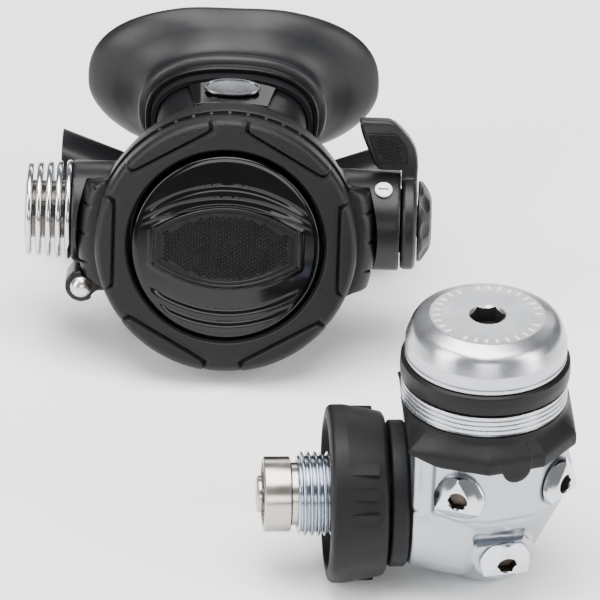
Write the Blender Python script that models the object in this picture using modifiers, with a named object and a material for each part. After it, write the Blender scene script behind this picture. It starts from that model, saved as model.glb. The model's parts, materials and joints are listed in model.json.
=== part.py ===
"""Scuba regulator set: first stage and second stage as separate pieces. Metres, +Z up, +Y to the back.

The origin is on the floor, at the middle of the set's bounding box. Sizes in the constants and in the
piece functions are millimetres in each stage's own frame, and the helpers turn them into metres.
First stage frame: the cap's axis is Z, and the cylinder connector points along -X.
Second stage frame: the purge button faces -Y, and the valve barrel lies along X.
"""

import math

import bmesh
import bpy
from mathutils import Matrix, Vector

# Where the stages stand
first_stage_at = (51.3, -84.01, 24.15)
first_stage_turn = 4.5
second_stage_at = (-20.1, 13.59, 40.9)
second_stage_tilt = -14.5
mouthpiece_rise = 19.0

# First stage
gap = 0.3
floor_drop = 24.15
cap_top = 56.1
cap_radius = 21.7
cap_hex_across = 8.6
cap_hex_depth = 4.7
band_top = 43.8
ring_top = 37.5
guard_top = 31.4
guard_bottom = 22.2
block_top = 24.4
block_bottom = 6.2
port_distance = 24.5
port_height = 13.7
port_azimuths = {"low_plug_front": -108, "low_plug_right": -40, "low_plug_rear_right": 40,
                 "low_plug_rear": 108}
block_facets = {0: 22.6, 40: 24.5, 74: 24.5, 108: 24.5, 180: 20.0, 252: 24.5, 286: 24.5, 320: 24.5}
high_base = (5.6, -19.1, -8.7)
high_azimuth = -80
high_dip = 13
plug_radius = 6.85
wheel_radius = 24.15
thread_radius = 11.45
thread_pitch = 1.814

# Second stage
rim_radius = 36.9
button_radius = 26.4
barrel_back = 22.0
barrel_up = 3.0
barrel_radius = 14.2
tube_half_width = 21.5
tube_half_height = 14.5
badge_half_width = 21.7
badge_half_height = 11.6
wing_reach = 48.5

MM = 0.001
big = 28
small = 14


def clear_scene():
    for old in list(bpy.data.objects):
        bpy.data.objects.remove(old, do_unlink=True)


def collection(name):
    made = bpy.data.collections.new(name)
    bpy.context.scene.collection.children.link(made)
    return made


def material(name, color, metallic, roughness):
    made = bpy.data.materials.new(name)
    made.use_nodes = True
    shader = made.node_tree.nodes["Principled BSDF"]
    shader.inputs["Base Color"].default_value = (*color, 1)
    shader.inputs["Metallic"].default_value = metallic
    shader.inputs["Roughness"].default_value = roughness
    return made


def frame(name, at, rotation, parent=None):
    made = bpy.data.objects.new(name, None)
    made.location = Vector(at) * MM
    made.rotation_euler = [math.radians(angle) for angle in rotation]
    made.parent = parent
    parts.objects.link(made)
    return made


def piece(name, mesh, parent, look, at=(0, 0, 0), rotation=(0, 0, 0), cutter=False):
    """An object from a mesh in metres, placed in its parent's frame (millimetres and degrees)."""
    made = bpy.data.objects.new(name, mesh)
    made.location = Vector(at) * MM
    made.rotation_euler = [math.radians(angle) for angle in rotation]
    made.parent = parent
    if cutter:
        cutters.objects.link(made)
        made.hide_render = True
        made.display_type = "WIRE"
        return made
    parts.objects.link(made)
    mesh.materials.append(material(name, *look))
    if mesh.polygons:
        mesh.shade_smooth()
        mesh.set_sharp_from_angle(angle=math.radians(35))
    return made


def mesh_from(name, bm):
    mesh = bpy.data.meshes.new(name)
    bmesh.ops.recalc_face_normals(bm, faces=bm.faces)
    bm.to_mesh(mesh)
    bm.free()
    return mesh


def turned(name, profile, parent, look=None, closed=True, steps=big, **place):
    """A profile of (radius, height), down its outer side, turned about the object's Z."""
    mesh = bpy.data.meshes.new(name)
    points = [(radius * MM, 0, height * MM) for radius, height in profile]
    edges = [(i, i + 1) for i in range(len(points) - 1)]
    if closed:
        edges.append((len(points) - 1, 0))
    mesh.from_pydata(points, edges, [])
    made = piece(name, mesh, parent, look, cutter=look is None, **place)
    screw = made.modifiers.new("turn", "SCREW")
    screw.steps = screw.render_steps = steps
    screw.use_merge_vertices = True
    screw.merge_threshold = 0.00001
    screw.use_smooth_shade = True
    return made


def rod(name, radius, low, high, parent, look=None, radius_high=None, sides=small, **place):
    """A cylinder or cone along the object's Z, from low to high."""
    bm = bmesh.new()
    top = radius if radius_high is None else radius_high
    shift = Matrix.Translation((0, 0, (low + high) / 2 * MM))
    bmesh.ops.create_cone(
        bm, cap_ends=True, segments=sides, radius1=radius * MM, radius2=top * MM,
        depth=(high - low) * MM, matrix=shift)
    return piece(name, mesh_from(name, bm), parent, look, cutter=look is None, **place)


def box(name, low, high, parent, look=None, **place):
    bm = bmesh.new()
    size = [(b - a) * MM for a, b in zip(low, high)]
    middle = Vector([(a + b) / 2 * MM for a, b in zip(low, high)])
    bmesh.ops.create_cube(bm, size=1, matrix=Matrix.Translation(middle) @ Matrix.Diagonal((*size, 1)))
    return piece(name, mesh_from(name, bm), parent, look, cutter=look is None, **place)


def plate(name, outline, low, high, parent, look=None, **place):
    """A flat outline of (x, y) filled and extruded from low to high along Z."""
    curve = bpy.data.curves.new(name, "CURVE")
    curve.dimensions = "2D"
    curve.fill_mode = "BOTH"
    curve.extrude = (high - low) / 2 * MM
    spline = curve.splines.new("POLY")
    spline.points.add(len(outline) - 1)
    for point, (x, y) in zip(spline.points, outline):
        point.co = (x * MM, y * MM, 0, 1)
    spline.use_cyclic_u = True
    guide = bpy.data.objects.new(name, curve)
    bpy.context.scene.collection.objects.link(guide)
    bpy.context.view_layer.update()
    mesh = bpy.data.meshes.new_from_object(guide.evaluated_get(bpy.context.evaluated_depsgraph_get()))
    bpy.data.objects.remove(guide)
    bm = bmesh.new()
    bm.from_mesh(mesh)
    bmesh.ops.remove_doubles(bm, verts=bm.verts, dist=0.000001)
    bmesh.ops.translate(bm, verts=bm.verts, vec=(0, 0, (low + high) / 2 * MM))
    return piece(name, mesh_from(name, bm), parent, look, cutter=look is None, **place)


def loft(name, rings, parent, look=None, looped=False, **place):
    """Skins a run of rings with equal point counts. A looped run closes on itself, the other is capped."""
    bm = bmesh.new()
    rows = [[bm.verts.new(Vector(point) * MM) for point in ring] for ring in rings]
    pairs = list(zip(rows, rows[1:] + rows[:1])) if looped else list(zip(rows, rows[1:]))
    count = len(rows[0])
    for near, far in pairs:
        for i in range(count):
            bm.faces.new((near[i], near[(i + 1) % count], far[(i + 1) % count], far[i]))
    if not looped:
        bm.faces.new(rows[0])
        bm.faces.new(rows[-1])
    return piece(name, mesh_from(name, bm), parent, look, cutter=look is None, **place)


def coil(name, radius, wire, low, high, turns, parent, look, sides=10, **place):
    curve = bpy.data.curves.new(name, "CURVE")
    curve.dimensions = "3D"
    curve.bevel_depth = wire / 2 * MM
    curve.bevel_resolution = 1
    curve.use_fill_caps = True
    spline = curve.splines.new("POLY")
    count = int(turns * sides)
    spline.points.add(count)
    for i, point in enumerate(spline.points):
        turn = 2 * math.pi * i / sides
        height = low + wire / 2 + (high - low - wire) * i / count
        point.co = (radius * math.cos(turn) * MM, radius * math.sin(turn) * MM, height * MM, 1)
    made = bpy.data.objects.new(name, curve)
    made.location = Vector(place.get("at", (0, 0, 0))) * MM
    made.rotation_euler = [math.radians(angle) for angle in place.get("rotation", (0, 0, 0))]
    made.parent = parent
    curve.materials.append(material(name, *look))
    parts.objects.link(made)
    return made


def boolean(target, other, operation):
    modifier = target.modifiers.new(other.name, "BOOLEAN")
    modifier.operation = operation
    modifier.object = other


def cut(target, *others):
    for other in others:
        boolean(target, other, "DIFFERENCE")


def join(target, *others):
    for other in others:
        boolean(target, other, "UNION")


def polygon(facets, grow=0.0):
    """Corners where neighbouring facets meet; each facet is an azimuth and a distance from the axis."""
    angles = sorted(facets)
    corners = []
    for first, second in zip(angles, angles[1:] + [angles[0] + 360]):
        a, b = math.radians(first), math.radians(second)
        da, db = facets[first] + grow, facets[second % 360] + grow
        turn = math.sin(b - a)
        corners.append(((da * math.sin(b) - db * math.sin(a)) / turn,
                        (db * math.cos(a) - da * math.cos(b)) / turn))
    return corners


def oval(half_width, half_height, power=2.4, count=20):
    """Superellipse points (x, z), anticlockwise from +X."""
    points = []
    for i in range(count):
        turn = 2 * math.pi * i / count
        c, s = math.cos(turn), math.sin(turn)
        points.append((
            half_width * math.copysign(abs(c) ** (2 / power), c),
            half_height * math.copysign(abs(s) ** (2 / power), s)))
    return points


clear_scene()
parts = collection("scuba_regulator_set")
cutters = collection("cutters")

chrome = ((0.62, 0.64, 0.66), 1.0, 0.28)
bright = ((0.75, 0.76, 0.78), 1.0, 0.15)
steel = ((0.62, 0.58, 0.54), 1.0, 0.25)
brass = ((0.72, 0.53, 0.25), 1.0, 0.3)
rubber = ((0.02, 0.02, 0.022), 0.0, 0.6)
plastic = ((0.025, 0.026, 0.028), 0.0, 0.5)
gloss = ((0.01, 0.01, 0.011), 0.0, 0.12)
silicone = ((0.05, 0.05, 0.055), 0.0, 0.55)
white = ((0.9, 0.9, 0.88), 0.0, 0.4)
spring = ((0.55, 0.56, 0.58), 1.0, 0.3)


# First stage

def hex_outline(across):
    return [(across / math.sqrt(3) * math.cos(math.radians(60 * i)),
             across / math.sqrt(3) * math.sin(math.radians(60 * i))) for i in range(6)]


def port_turn(azimuth, dip=0):
    """Euler angles that send an object's +Z outward along an azimuth, dipped below level."""
    return (0, 90 + dip, azimuth)


def first_stage_body(base):
    """The forging: faceted port block, tapered foot, connector neck, collar and two tilted port bosses."""
    outline = polygon(block_facets)
    body = plate("first_stage_body", outline, block_bottom, block_top, base, chrome)
    foot = rod("foot_tool", 6.6, -floor_drop, block_bottom + 0.5, base, radius_high=21.2, sides=big,
               at=(1.5, 0, 0))
    neck = turned("neck_tool", [(0, 19.7), (19.2, 19.7), (21.6, 10.0), (22.3, 5.0), (20.3, 0.5), (16.0, -3.0),
                                (0, -3.0)], base, closed=False, rotation=(0, -90, 0))
    collar = rod("collar_tool", 21.4, block_top - 0.6, guard_top - gap, base, sides=big)
    join(body, foot, neck, collar)
    for side in (1, -1):
        at = (high_base[0], high_base[1] * side, high_base[2])
        boss = rod(f"boss_tool_{side}", 8.8, -14.5, 0, base, at=at,
                   rotation=port_turn(high_azimuth * side, high_dip))
        join(body, boss)
    bore = turned("chamber_tool", [(0, 32), (18.2, 32), (18.2, 29.4), (9.2, 26.5), (9.2, 6), (5.6, 6),
                                   (5.6, -19), (0, -19)], base, closed=False)
    inlet = turned("inlet_tool", [(0, 21), (8.9, 21), (8.9, 10), (3.4, 9.6), (3.4, 2), (0, 2)], base,
                   closed=False, rotation=(0, -90, 0))
    cut(body, bore, inlet)
    for name, azimuth in port_azimuths.items():
        turn = math.radians(azimuth)
        hole = rod(f"{name}_tool", 4.9, -17, 1, base, rotation=port_turn(azimuth),
                   at=(port_distance * math.cos(turn), port_distance * math.sin(turn), port_height))
        cut(body, hole)
    for side in (1, -1):
        at = (high_base[0], high_base[1] * side, high_base[2])
        hole = rod(f"high_hole_tool_{side}", 4.2, -17, 1, base, at=at,
                   rotation=port_turn(high_azimuth * side, high_dip))
        cut(body, hole)


def port_plug(name, base, at, rotation, shank):
    """A round plug whose raised top is cut back to a triangle, with a hex socket."""
    bm = bmesh.new()
    low, high = gap, 3.3
    bmesh.ops.create_cone(bm, cap_ends=True, segments=24, radius1=plug_radius * MM, radius2=plug_radius * MM,
                          depth=(high - low) * MM, matrix=Matrix.Translation((0, 0, (low + high) / 2 * MM)))
    for i in range(3):
        turn = math.radians(120 * i)
        normal = Vector((math.cos(turn) * 0.62, math.sin(turn) * 0.62, 0.78)).normalized()
        edge = Vector((math.cos(turn) * 3.1, math.sin(turn) * 3.1, high)) * MM
        cutting = bmesh.ops.bisect_plane(bm, geom=bm.verts[:] + bm.edges[:] + bm.faces[:], plane_co=edge,
                                         plane_no=normal, clear_outer=True)
        rim = [item for item in cutting["geom_cut"] if isinstance(item, bmesh.types.BMEdge)]
        bmesh.ops.edgenet_fill(bm, edges=rim)
    plug = piece(name, mesh_from(name, bm), base, bright, at=at, rotation=rotation)
    stem = rod(f"{name}_shank", 4.5 if shank > 8 else 3.9, -shank, low + 0.2, base, at=at, rotation=rotation)
    join(plug, stem)
    socket = plate(f"{name}_socket", hex_outline(4.7), high - 3.0, high + 1, base, at=at, rotation=rotation)
    cut(plug, socket)


def port_plugs(base):
    for name, azimuth in port_azimuths.items():
        turn = math.radians(azimuth)
        at = (port_distance * math.cos(turn), port_distance * math.sin(turn), port_height)
        port_plug(name, base, at, port_turn(azimuth), 9)
    for name, side in (("high_plug_front", 1), ("high_plug_rear", -1)):
        port_plug(name, base, (high_base[0], high_base[1] * side, high_base[2]),
                  port_turn(high_azimuth * side, high_dip), 8)


def cap_group(base):
    cap = turned("spring_cap", [
        (0, cap_top), (15.3, cap_top), (17.8, 55.5), (19.9, 54.1), (21.2, 52.0), (cap_radius, 49.6),
        (cap_radius, 45.7), (21.3, 45.5), (21.3, 45.2), (cap_radius, 45.0), (cap_radius, 44.1), (20.1, 44.1),
        (20.1, ring_top + gap), (18.2, ring_top + gap), (18.2, 33.2), (12.3, 33.2), (12.3, 49.0), (0, 49.0)],
        base, chrome, closed=False, steps=28)
    cut(cap, plate("cap_socket", hex_outline(cap_hex_across), cap_top - cap_hex_depth, cap_top + 2, base))
    turned("rubber_bumper_band", [
        (21.9, band_top), (22.5, band_top - 0.5), (22.75, 40.8), (22.5, ring_top + gap + 0.5),
        (21.9, ring_top + gap), (20.4, ring_top + gap), (20.4, band_top)], base, rubber, steps=28)
    grooves = []
    for i in range(3):
        top = ring_top - 0.3 - 1.75 * i
        grooves += [(22.4, top), (22.4, top - 1.0), (21.9, top - 1.3)]
    turned("diaphragm_clamp_ring", [(21.9, ring_top)] + grooves + [
        (22.4, ring_top - 5.75), (22.0, guard_top), (18.5, guard_top), (18.5, ring_top)], base, chrome, steps=28)


def rubber_body_guard(base):
    """A skirt from the round ring down to the port block's facets, with a tongue between the front ports."""
    count = 40

    def reach(turn):
        """Distance from the axis to the polygon's side in a direction."""
        found = 99.0
        for azimuth, distance in block_facets.items():
            lean = math.cos(turn - math.radians(azimuth))
            if lean > 0.1:
                found = min(found, (distance + 1.6) / lean)
        return found

    rings = []
    for height, blend in ((guard_bottom, 1.0), (guard_bottom + 3.6, 1.0), (guard_top - 1.6, 0.12),
                          (guard_top - gap, 0.0)):
        ring = []
        for i in range(count):
            turn = 2 * math.pi * i / count
            radius = 22.3 + (reach(turn) - 22.3) * blend
            ring.append((radius * math.cos(turn), radius * math.sin(turn), height))
        rings.append(ring)
    guard = loft("rubber_body_guard", rings, base, rubber)
    inside = polygon(block_facets, gap)
    cut(guard, plate("guard_pocket", inside, guard_bottom - 5, block_top + gap, base))
    cut(guard, rod("guard_bore", 21.4 + gap, block_top - 1, guard_top + 1, base, sides=big))
    tongue = [(4, 3), (4, -1)] + [(4 * math.cos(math.radians(a)), -1 + 4 * math.sin(math.radians(a)))
                                  for a in range(-30, -180, -30)] + [(-4, -1), (-4, 3)]
    turn = math.radians(-74)
    out = port_distance + gap + 0.05
    front = plate("tongue_tool", tongue, 0, 1.5, base,
                  at=(out * math.cos(turn), out * math.sin(turn), guard_bottom - 0.4), rotation=(90, 0, 16))
    join(guard, front)


def connector_group(base):
    """Everything on the cylinder connector's axis, turned with the tip at the top of each profile."""
    aim = {"rotation": (0, -90, 0)}
    turned("neck_ring", [(19.2, 25.2), (19.9, 24.6), (19.9, 20.8), (19.3, 20.2), (9.1, 20.2), (9.1, 25.2)],
           base, rubber, **aim)
    wheel = turned("din_handwheel", [
        (21.6, 41.6), (23.2, 41.2), (wheel_radius, 39.6), (wheel_radius, 37.0), (22.2, 26.9), (21.2, 25.9),
        (14.4, 25.9), (14.4, 38.9), (20.2, 38.9), (20.9, 41.4)], base, rubber, steps=28, **aim)
    for group in range(6):
        for step in (-1, 0, 1):
            rib = box(f"rib_{group}_{step}", (21.6, -1.7, 28.6), (24.0, 1.7, 38.3), base, **aim)
            rib.data.transform(Matrix.Rotation(math.radians(60 * group + 17 * step), 4, "Z"))
            join(wheel, rib)
    crests = []
    start = 48.6
    for i in range(5):
        top = start - thread_pitch * i
        crests += [(thread_radius, top), (10.3, top - 0.95)]
    turned("din_screw", [(10.3, 49.5)] + crests + [(11.3, 39.2), (13.9, 39.2), (13.9, 26.3), (8.95, 26.3),
                                                   (8.95, 49.5)], base, steel, steps=24, **aim)
    turned("din_stem", [(5.9, 57.8), (5.9, 51.0), (8.55, 51.0), (8.55, 10.6), (4.4, 10.6), (4.4, 57.8)],
           base, steel, steps=28, **aim)
    turned("acd_sleeve", [
        (8.7, 58.6), (9.9, 58.6), (10.2, 58.3), (10.2, 51.6), (9.9, 51.3), (8.9, 51.3), (8.9, 53.6),
        (6.2, 53.6), (6.2, 58.6), (6.4, 58.6), (6.4, 57.2), (8.7, 57.2)], base, steel, steps=28, **aim)
    coil("acd_spring", 7.4, 0.8, 51.3, 53.3, 1.75, base, spring, **aim)
    ring = [(7.55 + 0.85 * math.cos(math.radians(a)), 58.15 + 0.6 * math.sin(math.radians(a)))
            for a in range(90, -270, -60)]
    turned("nose_o_ring", ring, base, rubber, steps=28, **aim)
    turned("closure_pin", [(0, 60.3), (4.6, 60.3), (5.0, 59.9), (5.0, 58.95), (2.1, 58.95), (2.1, 47),
                           (0, 47)],
           base, steel, closed=False, steps=small, **aim)
    turned("inlet_filter", [(0, 28), (1.6, 28), (4.0, 13), (4.0, 11), (2.4, 11), (0, 26)], base, brass,
           closed=False, steps=small, **aim)


def regulator_core(base):
    """The sprung diaphragm above the chamber and the high pressure valve below it."""
    turned("spring_adjuster", [(0, 48.6), (11.9, 48.6), (11.9, 45.6), (0, 45.6)], base, brass, closed=False,
           steps=small)
    coil("main_spring", 8.4, 2.4, 35.4, 45.3, 3.5, base, spring)
    turned("spring_pad", [(0, 36.8), (5, 36.8), (6, 35.1), (10, 35.1), (10, 33.4), (0, 33.4)], base, brass,
           closed=False, steps=small)
    turned("main_diaphragm", [(0, 32.8), (17.8, 32.8), (17.8, 31.7), (0, 31.7)], base, rubber, closed=False)
    turned("lifter_pin", [(0, 31.3), (6, 31.3), (6, 30.3), (1.5, 29.5), (0.8, 28.5), (0.8, -1.7), (0, -1.7)],
           base, brass, closed=False, steps=small)
    turned("high_seat", [(4.9, 5.6), (5.2, 5.3), (5.2, 1.6), (4.8, 0.9), (2.2, 0.9), (1.4, 1.6),
                         (1.4, 5.6)], base, brass, steps=small)
    turned("high_poppet", [(0, -2.0), (1.9, -2.0), (3.4, -3.4), (3.4, -6.5), (1.7, -7.3), (1.7, -15.5),
                           (0, -15.5)], base, brass, closed=False, steps=small)
    coil("high_spring", 3.4, 0.9, -18.8, -7.0, 4, base, spring)


def first_stage():
    base = frame("first_stage_frame", first_stage_at, (0, 0, first_stage_turn))
    first_stage_body(base)
    port_plugs(base)
    cap_group(base)
    rubber_body_guard(base)
    connector_group(base)
    regulator_core(base)


first_stage()


# Second stage

def facing():
    """Turned pieces whose profile top faces the diver's front, along -Y."""
    return {"rotation": (90, 0, 0)}


def front_cover(face):
    """A crowned ring with six raised pads round its rim."""
    count = 48
    rings = []
    for i in range(count):
        turn = 2 * math.pi * i / count
        wave = math.cos(6 * turn)
        pad = 1.3 * min(1.0, max(0.0, 0.5 + 2.2 * wave))
        profile = [(27.6, 6.1), (27.6, 0.4), (28.3, -0.3), (31.0, -0.7), (31.8, -0.8 - pad),
                   (34.6, -0.4 - pad * 0.8), (36.2, 1.2 - pad * 0.3), (rim_radius, 3.0), (rim_radius, 5.6), (36.4, 6.1)]
        rings.append([(r * math.cos(turn), y, r * math.sin(turn)) for r, y in profile])
    loft("front_cover", rings, face, plastic, looped=True)


def ear(turn):
    """How far the retaining ring's grip stands out at a direction."""
    degrees = math.degrees(turn) % 360
    side = degrees if degrees <= 180 else degrees - 360
    if abs(side) <= 90:
        offset, low, high = side, -25, 25
    else:
        offset = (180 - degrees)
        low, high = -11.5, 25
    inside = min(offset - low, high - offset)
    if inside <= -7:
        return 0.0
    if inside < 0:
        return 5.0 * (1 + inside / 7)
    notch = 0.7 if abs((offset - low) % 12.5) < 1.3 and inside > 2 else 0.0
    return 5.0 - notch


def retaining_ring(face):
    count = 72
    rings = []
    for i in range(count):
        turn = 2 * math.pi * i / count
        out = 37.5 + ear(turn)
        profile = [(34.9, 6.5), (out - 1.0, 6.5), (out, 7.5), (out, 12.6), (out - 0.8, 13.6), (34.9, 13.6)]
        rings.append([(r * math.cos(turn), y, r * math.sin(turn)) for r, y in profile])
    loft("retaining_ring", rings, face, plastic, looped=True)


def badge_outline(grow=0.0):
    """A lens between two arcs with cut-off side points."""
    half, rise = badge_half_width + grow, badge_half_height + grow
    points = []
    for sign in (1, -1):
        for i in range(9):
            x = (half - 1.8) * (1 - i / 4) * sign
            drop = (x / half) ** 2
            points.append((x, sign * (rise - 6.6 * drop)))
    return points


def purge_group(face):
    front = facing()
    button = turned("purge_button", [
        (0, 1.6), (23.0, 1.6), (25.2, 1.0), (26.2, 0.0), (button_radius, -0.8), (button_radius, -6.8),
        (28.8, -6.8), (28.8, -7.8), (24.6, -7.8), (24.6, -1.2), (6.0, -1.2), (5.0, -11.5), (0, -11.5)],
        face, gloss, closed=False, steps=28, **front)
    cut(button, plate("badge_pocket", badge_outline(gap), 0.7, 3, face, **front))
    plate("purge_badge", badge_outline(), 1.0, 2.0, face, plastic, **front)
    coil("purge_spring", 22.5, 1.0, -11.6, -1.5, 1.75, face, spring, sides=20, **front)


def demand_group(face):
    front = facing()
    turned("demand_diaphragm", [(0, -12.0), (30.0, -12.0), (31.0, -11.0), (32.4, -11.0), (33.6, -12.0), (33.6, -13.2),
                                (32.0, -13.2), (31.2, -12.8), (0, -12.8)], face, silicone, closed=False, **front)
    turned("diaphragm_plate", [(0, -13.1), (14, -13.1), (14, -13.9), (0, -13.9)], face, steel, closed=False,
           steps=small, **front)
    pivot = frame("lever_pivot", (-10, 19, barrel_up), (0, 0, -6.5), face)
    lever = box("demand_lever", (-1.2, -2.4, -7.4), (1.2, -1.4, 7.4), pivot, steel)
    join(lever, box("lever_arm_tool", (-1.0, -2.4, -3.5), (19.0, -1.4, 3.5), pivot))
    for low in (-7.4, 5.9):
        join(lever, box(f"lever_leg_tool_{low}", (-1.2, -2.4, low), (1.2, 1.4, low + 1.5), pivot))
    axis = frame("barrel_axis", (0, barrel_back, barrel_up), (0, 90, 0), face)
    turned("valve_barrel", [(4.2, 31), (4.2, -38), (1.0, -38), (1.0, -21), (3.0, -20), (3.0, 31)], axis, brass,
           steps=small)
    turned("valve_poppet", [(0, 9.0), (1.2, 9.0), (1.2, -17.6), (2.6, -17.6), (2.6, -19.6), (0, -19.6)], axis,
           brass, closed=False, steps=16)
    coil("poppet_spring", 2.1, 0.7, 9.3, 18.2, 4, axis, spring, sides=8)
    turned("adjust_screw", [(0, 30.6), (2.65, 30.6), (2.65, 18.5), (0, 18.5)], axis, brass, closed=False, steps=16)
    fins = []
    for i in range(5):
        radius, place = 13.1 + 0.25 * i, -56.4 + 2.75 * i
        fins = [(9, place + 1.2), (radius, place + 1.0), (radius, place + 0.2), (9, place)] + fins
    turned("heat_exchanger", [(8.2, -35.5), (8.2, -44.0)] + fins + [
        (9, -57.1), (7.15, -57.1), (7.15, -44.5), (4.55, -42), (4.55, -35.5)], axis, bright, steps=28)
    return axis


def knob_group(axis):
    knob = turned("adjust_knob", [(0, 57.9), (6.5, 57.9), (8.0, 57.2), (11.4, 54.6), (11.4, 53.8), (4.5, 53.8),
                                  (4.5, 31.2), (0, 31.2)], axis, plastic, closed=False, steps=28)
    for i in range(8):
        flat = box(f"knob_flat_{i}", (8.8, -3.2, 55.0), (14, 3.2, 60), axis)
        flat.data.transform(Matrix.Rotation(math.radians(45 * i), 4, "Z"))
        cut(knob, flat)
    lever = turned("venturi_lever", [(12.6, 53.4), (13.8, 52.4), (13.8, 50.0), (13.2, 49.1), (8.8, 49.1),
                                     (8.8, 43.6), (5.0, 43.6), (5.0, 53.4)], axis, plastic)
    rings = []
    for high, low_x, high_x, thick in ((11.5, 49.3, 53.2, 7.0), (16.4, 41.5, 53.4, 7.0),
                                       (22.0, 38.6, 52.4, 6.4), (27.0, 36.6, 48.6, 5.6),
                                       (29.6, 36.4, 46.6, 4.6)):
        half = thick / 2
        rings.append([(-high, half, low_x), (-high, half, high_x), (-high, -half, high_x),
                      (-high, -half, low_x)])
    join(lever, loft("lever_paddle_tool", rings, axis))
    cut(lever, turned("barrel_clearance", [(16.0, 48.8), (16.0, 30.0), (10.0, 30.0), (10.0, 48.8)], axis))
    rings = []
    for out in (gap + 0.05, gap + 0.8):
        rings.append([(-17.6, -3.45 - out, 42.0), (-17.6, -3.45 - out, 51.0), (-26.0, -2.9 - out, 47.4),
                      (-26.0, -2.9 - out, 38.6)])
    loft("lever_pad", rings, axis, rubber)
    turned("venturi_vane", [(7.9, 43.3), (7.9, 34.0), (6.2, 34.0), (6.2, 43.3)], axis, plastic, steps=small)


def case_group(face):
    """The case is a bowl with a cross barrel, a mouthpiece tube, an exhaust neck and a pin boss."""
    front = facing()
    aim = frame("mouthpiece_frame", (0, 0, 0), (mouthpiece_rise, 0, 0), face)
    case = turned("case", [(0, -13.5), (34.5, -13.5), (34.5, -14.0), (36.5, -14.0), (36.5, -20), (35.0, -28),
                           (30, -36), (20, -40), (0, -40)], face, plastic, closed=False, **front)
    barrel = rod("barrel_tool", barrel_radius, -44, 48.8, face, sides=big, at=(0, barrel_back, barrel_up),
                 rotation=(0, 90, 0))
    tube = loft("tube_tool", [[(x, s, z) for x, z in oval(tube_half_width + grow, tube_half_height + grow)]
                              for s, grow in ((26, 6), (38, 4), (45, 1.2), (50, 0), (67, 0))], aim)
    boss = rod("pin_boss_tool", 4.6, -22, -9.5, face, at=(-40.6, 0, -15.9), rotation=(90, 0, 0))
    web = box("pin_web_tool", (-41.5, 14.2, -18.5), (-30.0, 20.0, -13.5), face)
    level_out = {"at": (0, 0, -30.47), "rotation": (-90 - second_stage_tilt, 0, 0), "sides": 24}
    neck = rod("exhaust_neck_tool", 8.6, 24, 56.0, face, **level_out)
    join(case, barrel, tube, neck)
    cavity = turned("cavity_tool", [(0, -3), (43.2, -3), (43.2, -13.9), (31.2, -13.9), (31.2, -15.5),
                                    (33.4, -17.2), (32.8, -23), (30, -30), (24, -35.2), (18, -37.3),
                                    (0, -37.3)], face, closed=False, **front)
    cross = rod("cross_tool", 9.2, -60, 60, face, sides=big, at=(0, barrel_back, barrel_up),
                rotation=(0, 90, 0))
    throat = loft("throat_tool", [[(x, s, z) for x, z in oval(tube_half_width - 2, tube_half_height - 2)]
                                  for s in (30, 72)], aim)
    drain = rod("drain_tool", 6.8, 28, 64, face, **level_out)
    pin_hole = rod("pin_hole_tool", 2.4, -19, -5, face, at=(-40.6, 0, -15.9), rotation=(90, 0, 0))
    cut(case, cavity, cross, throat, drain)
    join(case, boss, web)
    cut(case, pin_hole)
    turned("ring_lock_pin", [(0, -7.3), (1.6, -7.6), (2.7, -8.4), (3.1, -9.2), (2.1, -9.2), (2.1, -17),
                             (0, -17)],
           face, bright, closed=False, steps=small, at=(-40.6, 0, -15.9), **front)
    return aim


def tube_top(x):
    """Height of the mouthpiece tube's top above its axis."""
    return tube_half_height * (1 - abs(x / tube_half_width) ** 2.4) ** (1 / 2.4)


def tube_trim(aim):
    rings = []
    steps = [-1 + i / 6 for i in range(13)]
    for s, half in ((49.0, 10.4), (60.1, 12.7)):
        outer = [(half * t, s, tube_top(half * t) + gap + 0.9) for t in steps]
        inner = [(half * t, s, tube_top(half * t) + gap) for t in reversed(steps)]
        rings.append(outer + inner)
    loft("top_window", rings, aim, gloss)
    plate("top_emblem", [(8.1 * math.cos(math.radians(a)), 4.2 * math.sin(math.radians(a)))
                         for a in range(0, 360, 15)], 0, 0.7, aim, bright, at=(0, 55.6, 16.05))
    rings = []
    for s, grow in ((63.0, 0), (65.6, 0), (65.6, -0.9), (63.0, -0.9)):
        rings.append([(x, s, z) for x, z in oval(24.9 + grow, 17.9 + grow)])
    loft("mouthpiece_clamp", rings, aim, plastic, looped=True)


def mouthpiece(aim):
    """A rubber sleeve over the tube, a flared lip shield and a bite bar, open all the way through."""
    sections = [
        (60.5, 23.2, 16.2), (66.2, 23.2, 16.2), (67.2, 27.0, 18.6), (70.0, 27.2, 18.8), (71.2, 25.4, 17.4),
        (75.5, 29.4, 19.4), (79.5, 37.4, 23.4), (82.6, 41.8, 25.3), (83.8, 42.1, 25.5), (83.6, 39.0, 23.0),
        (82.6, 28.0, 15.5), (84.5, 20.5, 11.0), (97.5, 19.5, 8.8), (98.4, 18.4, 7.8), (97.5, 16.4, 5.4),
        (84.0, 17.0, 8.0), (74.0, 19.0, 12.0), (68.0, 19.4, 12.4), (67.4, 21.9, 14.9), (60.5, 21.9, 14.9)]
    rings = [[(x, s, z) for x, z in oval(a, b)] for s, a, b in sections]
    loft("mouthpiece", rings, aim, silicone, looped=True)


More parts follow.
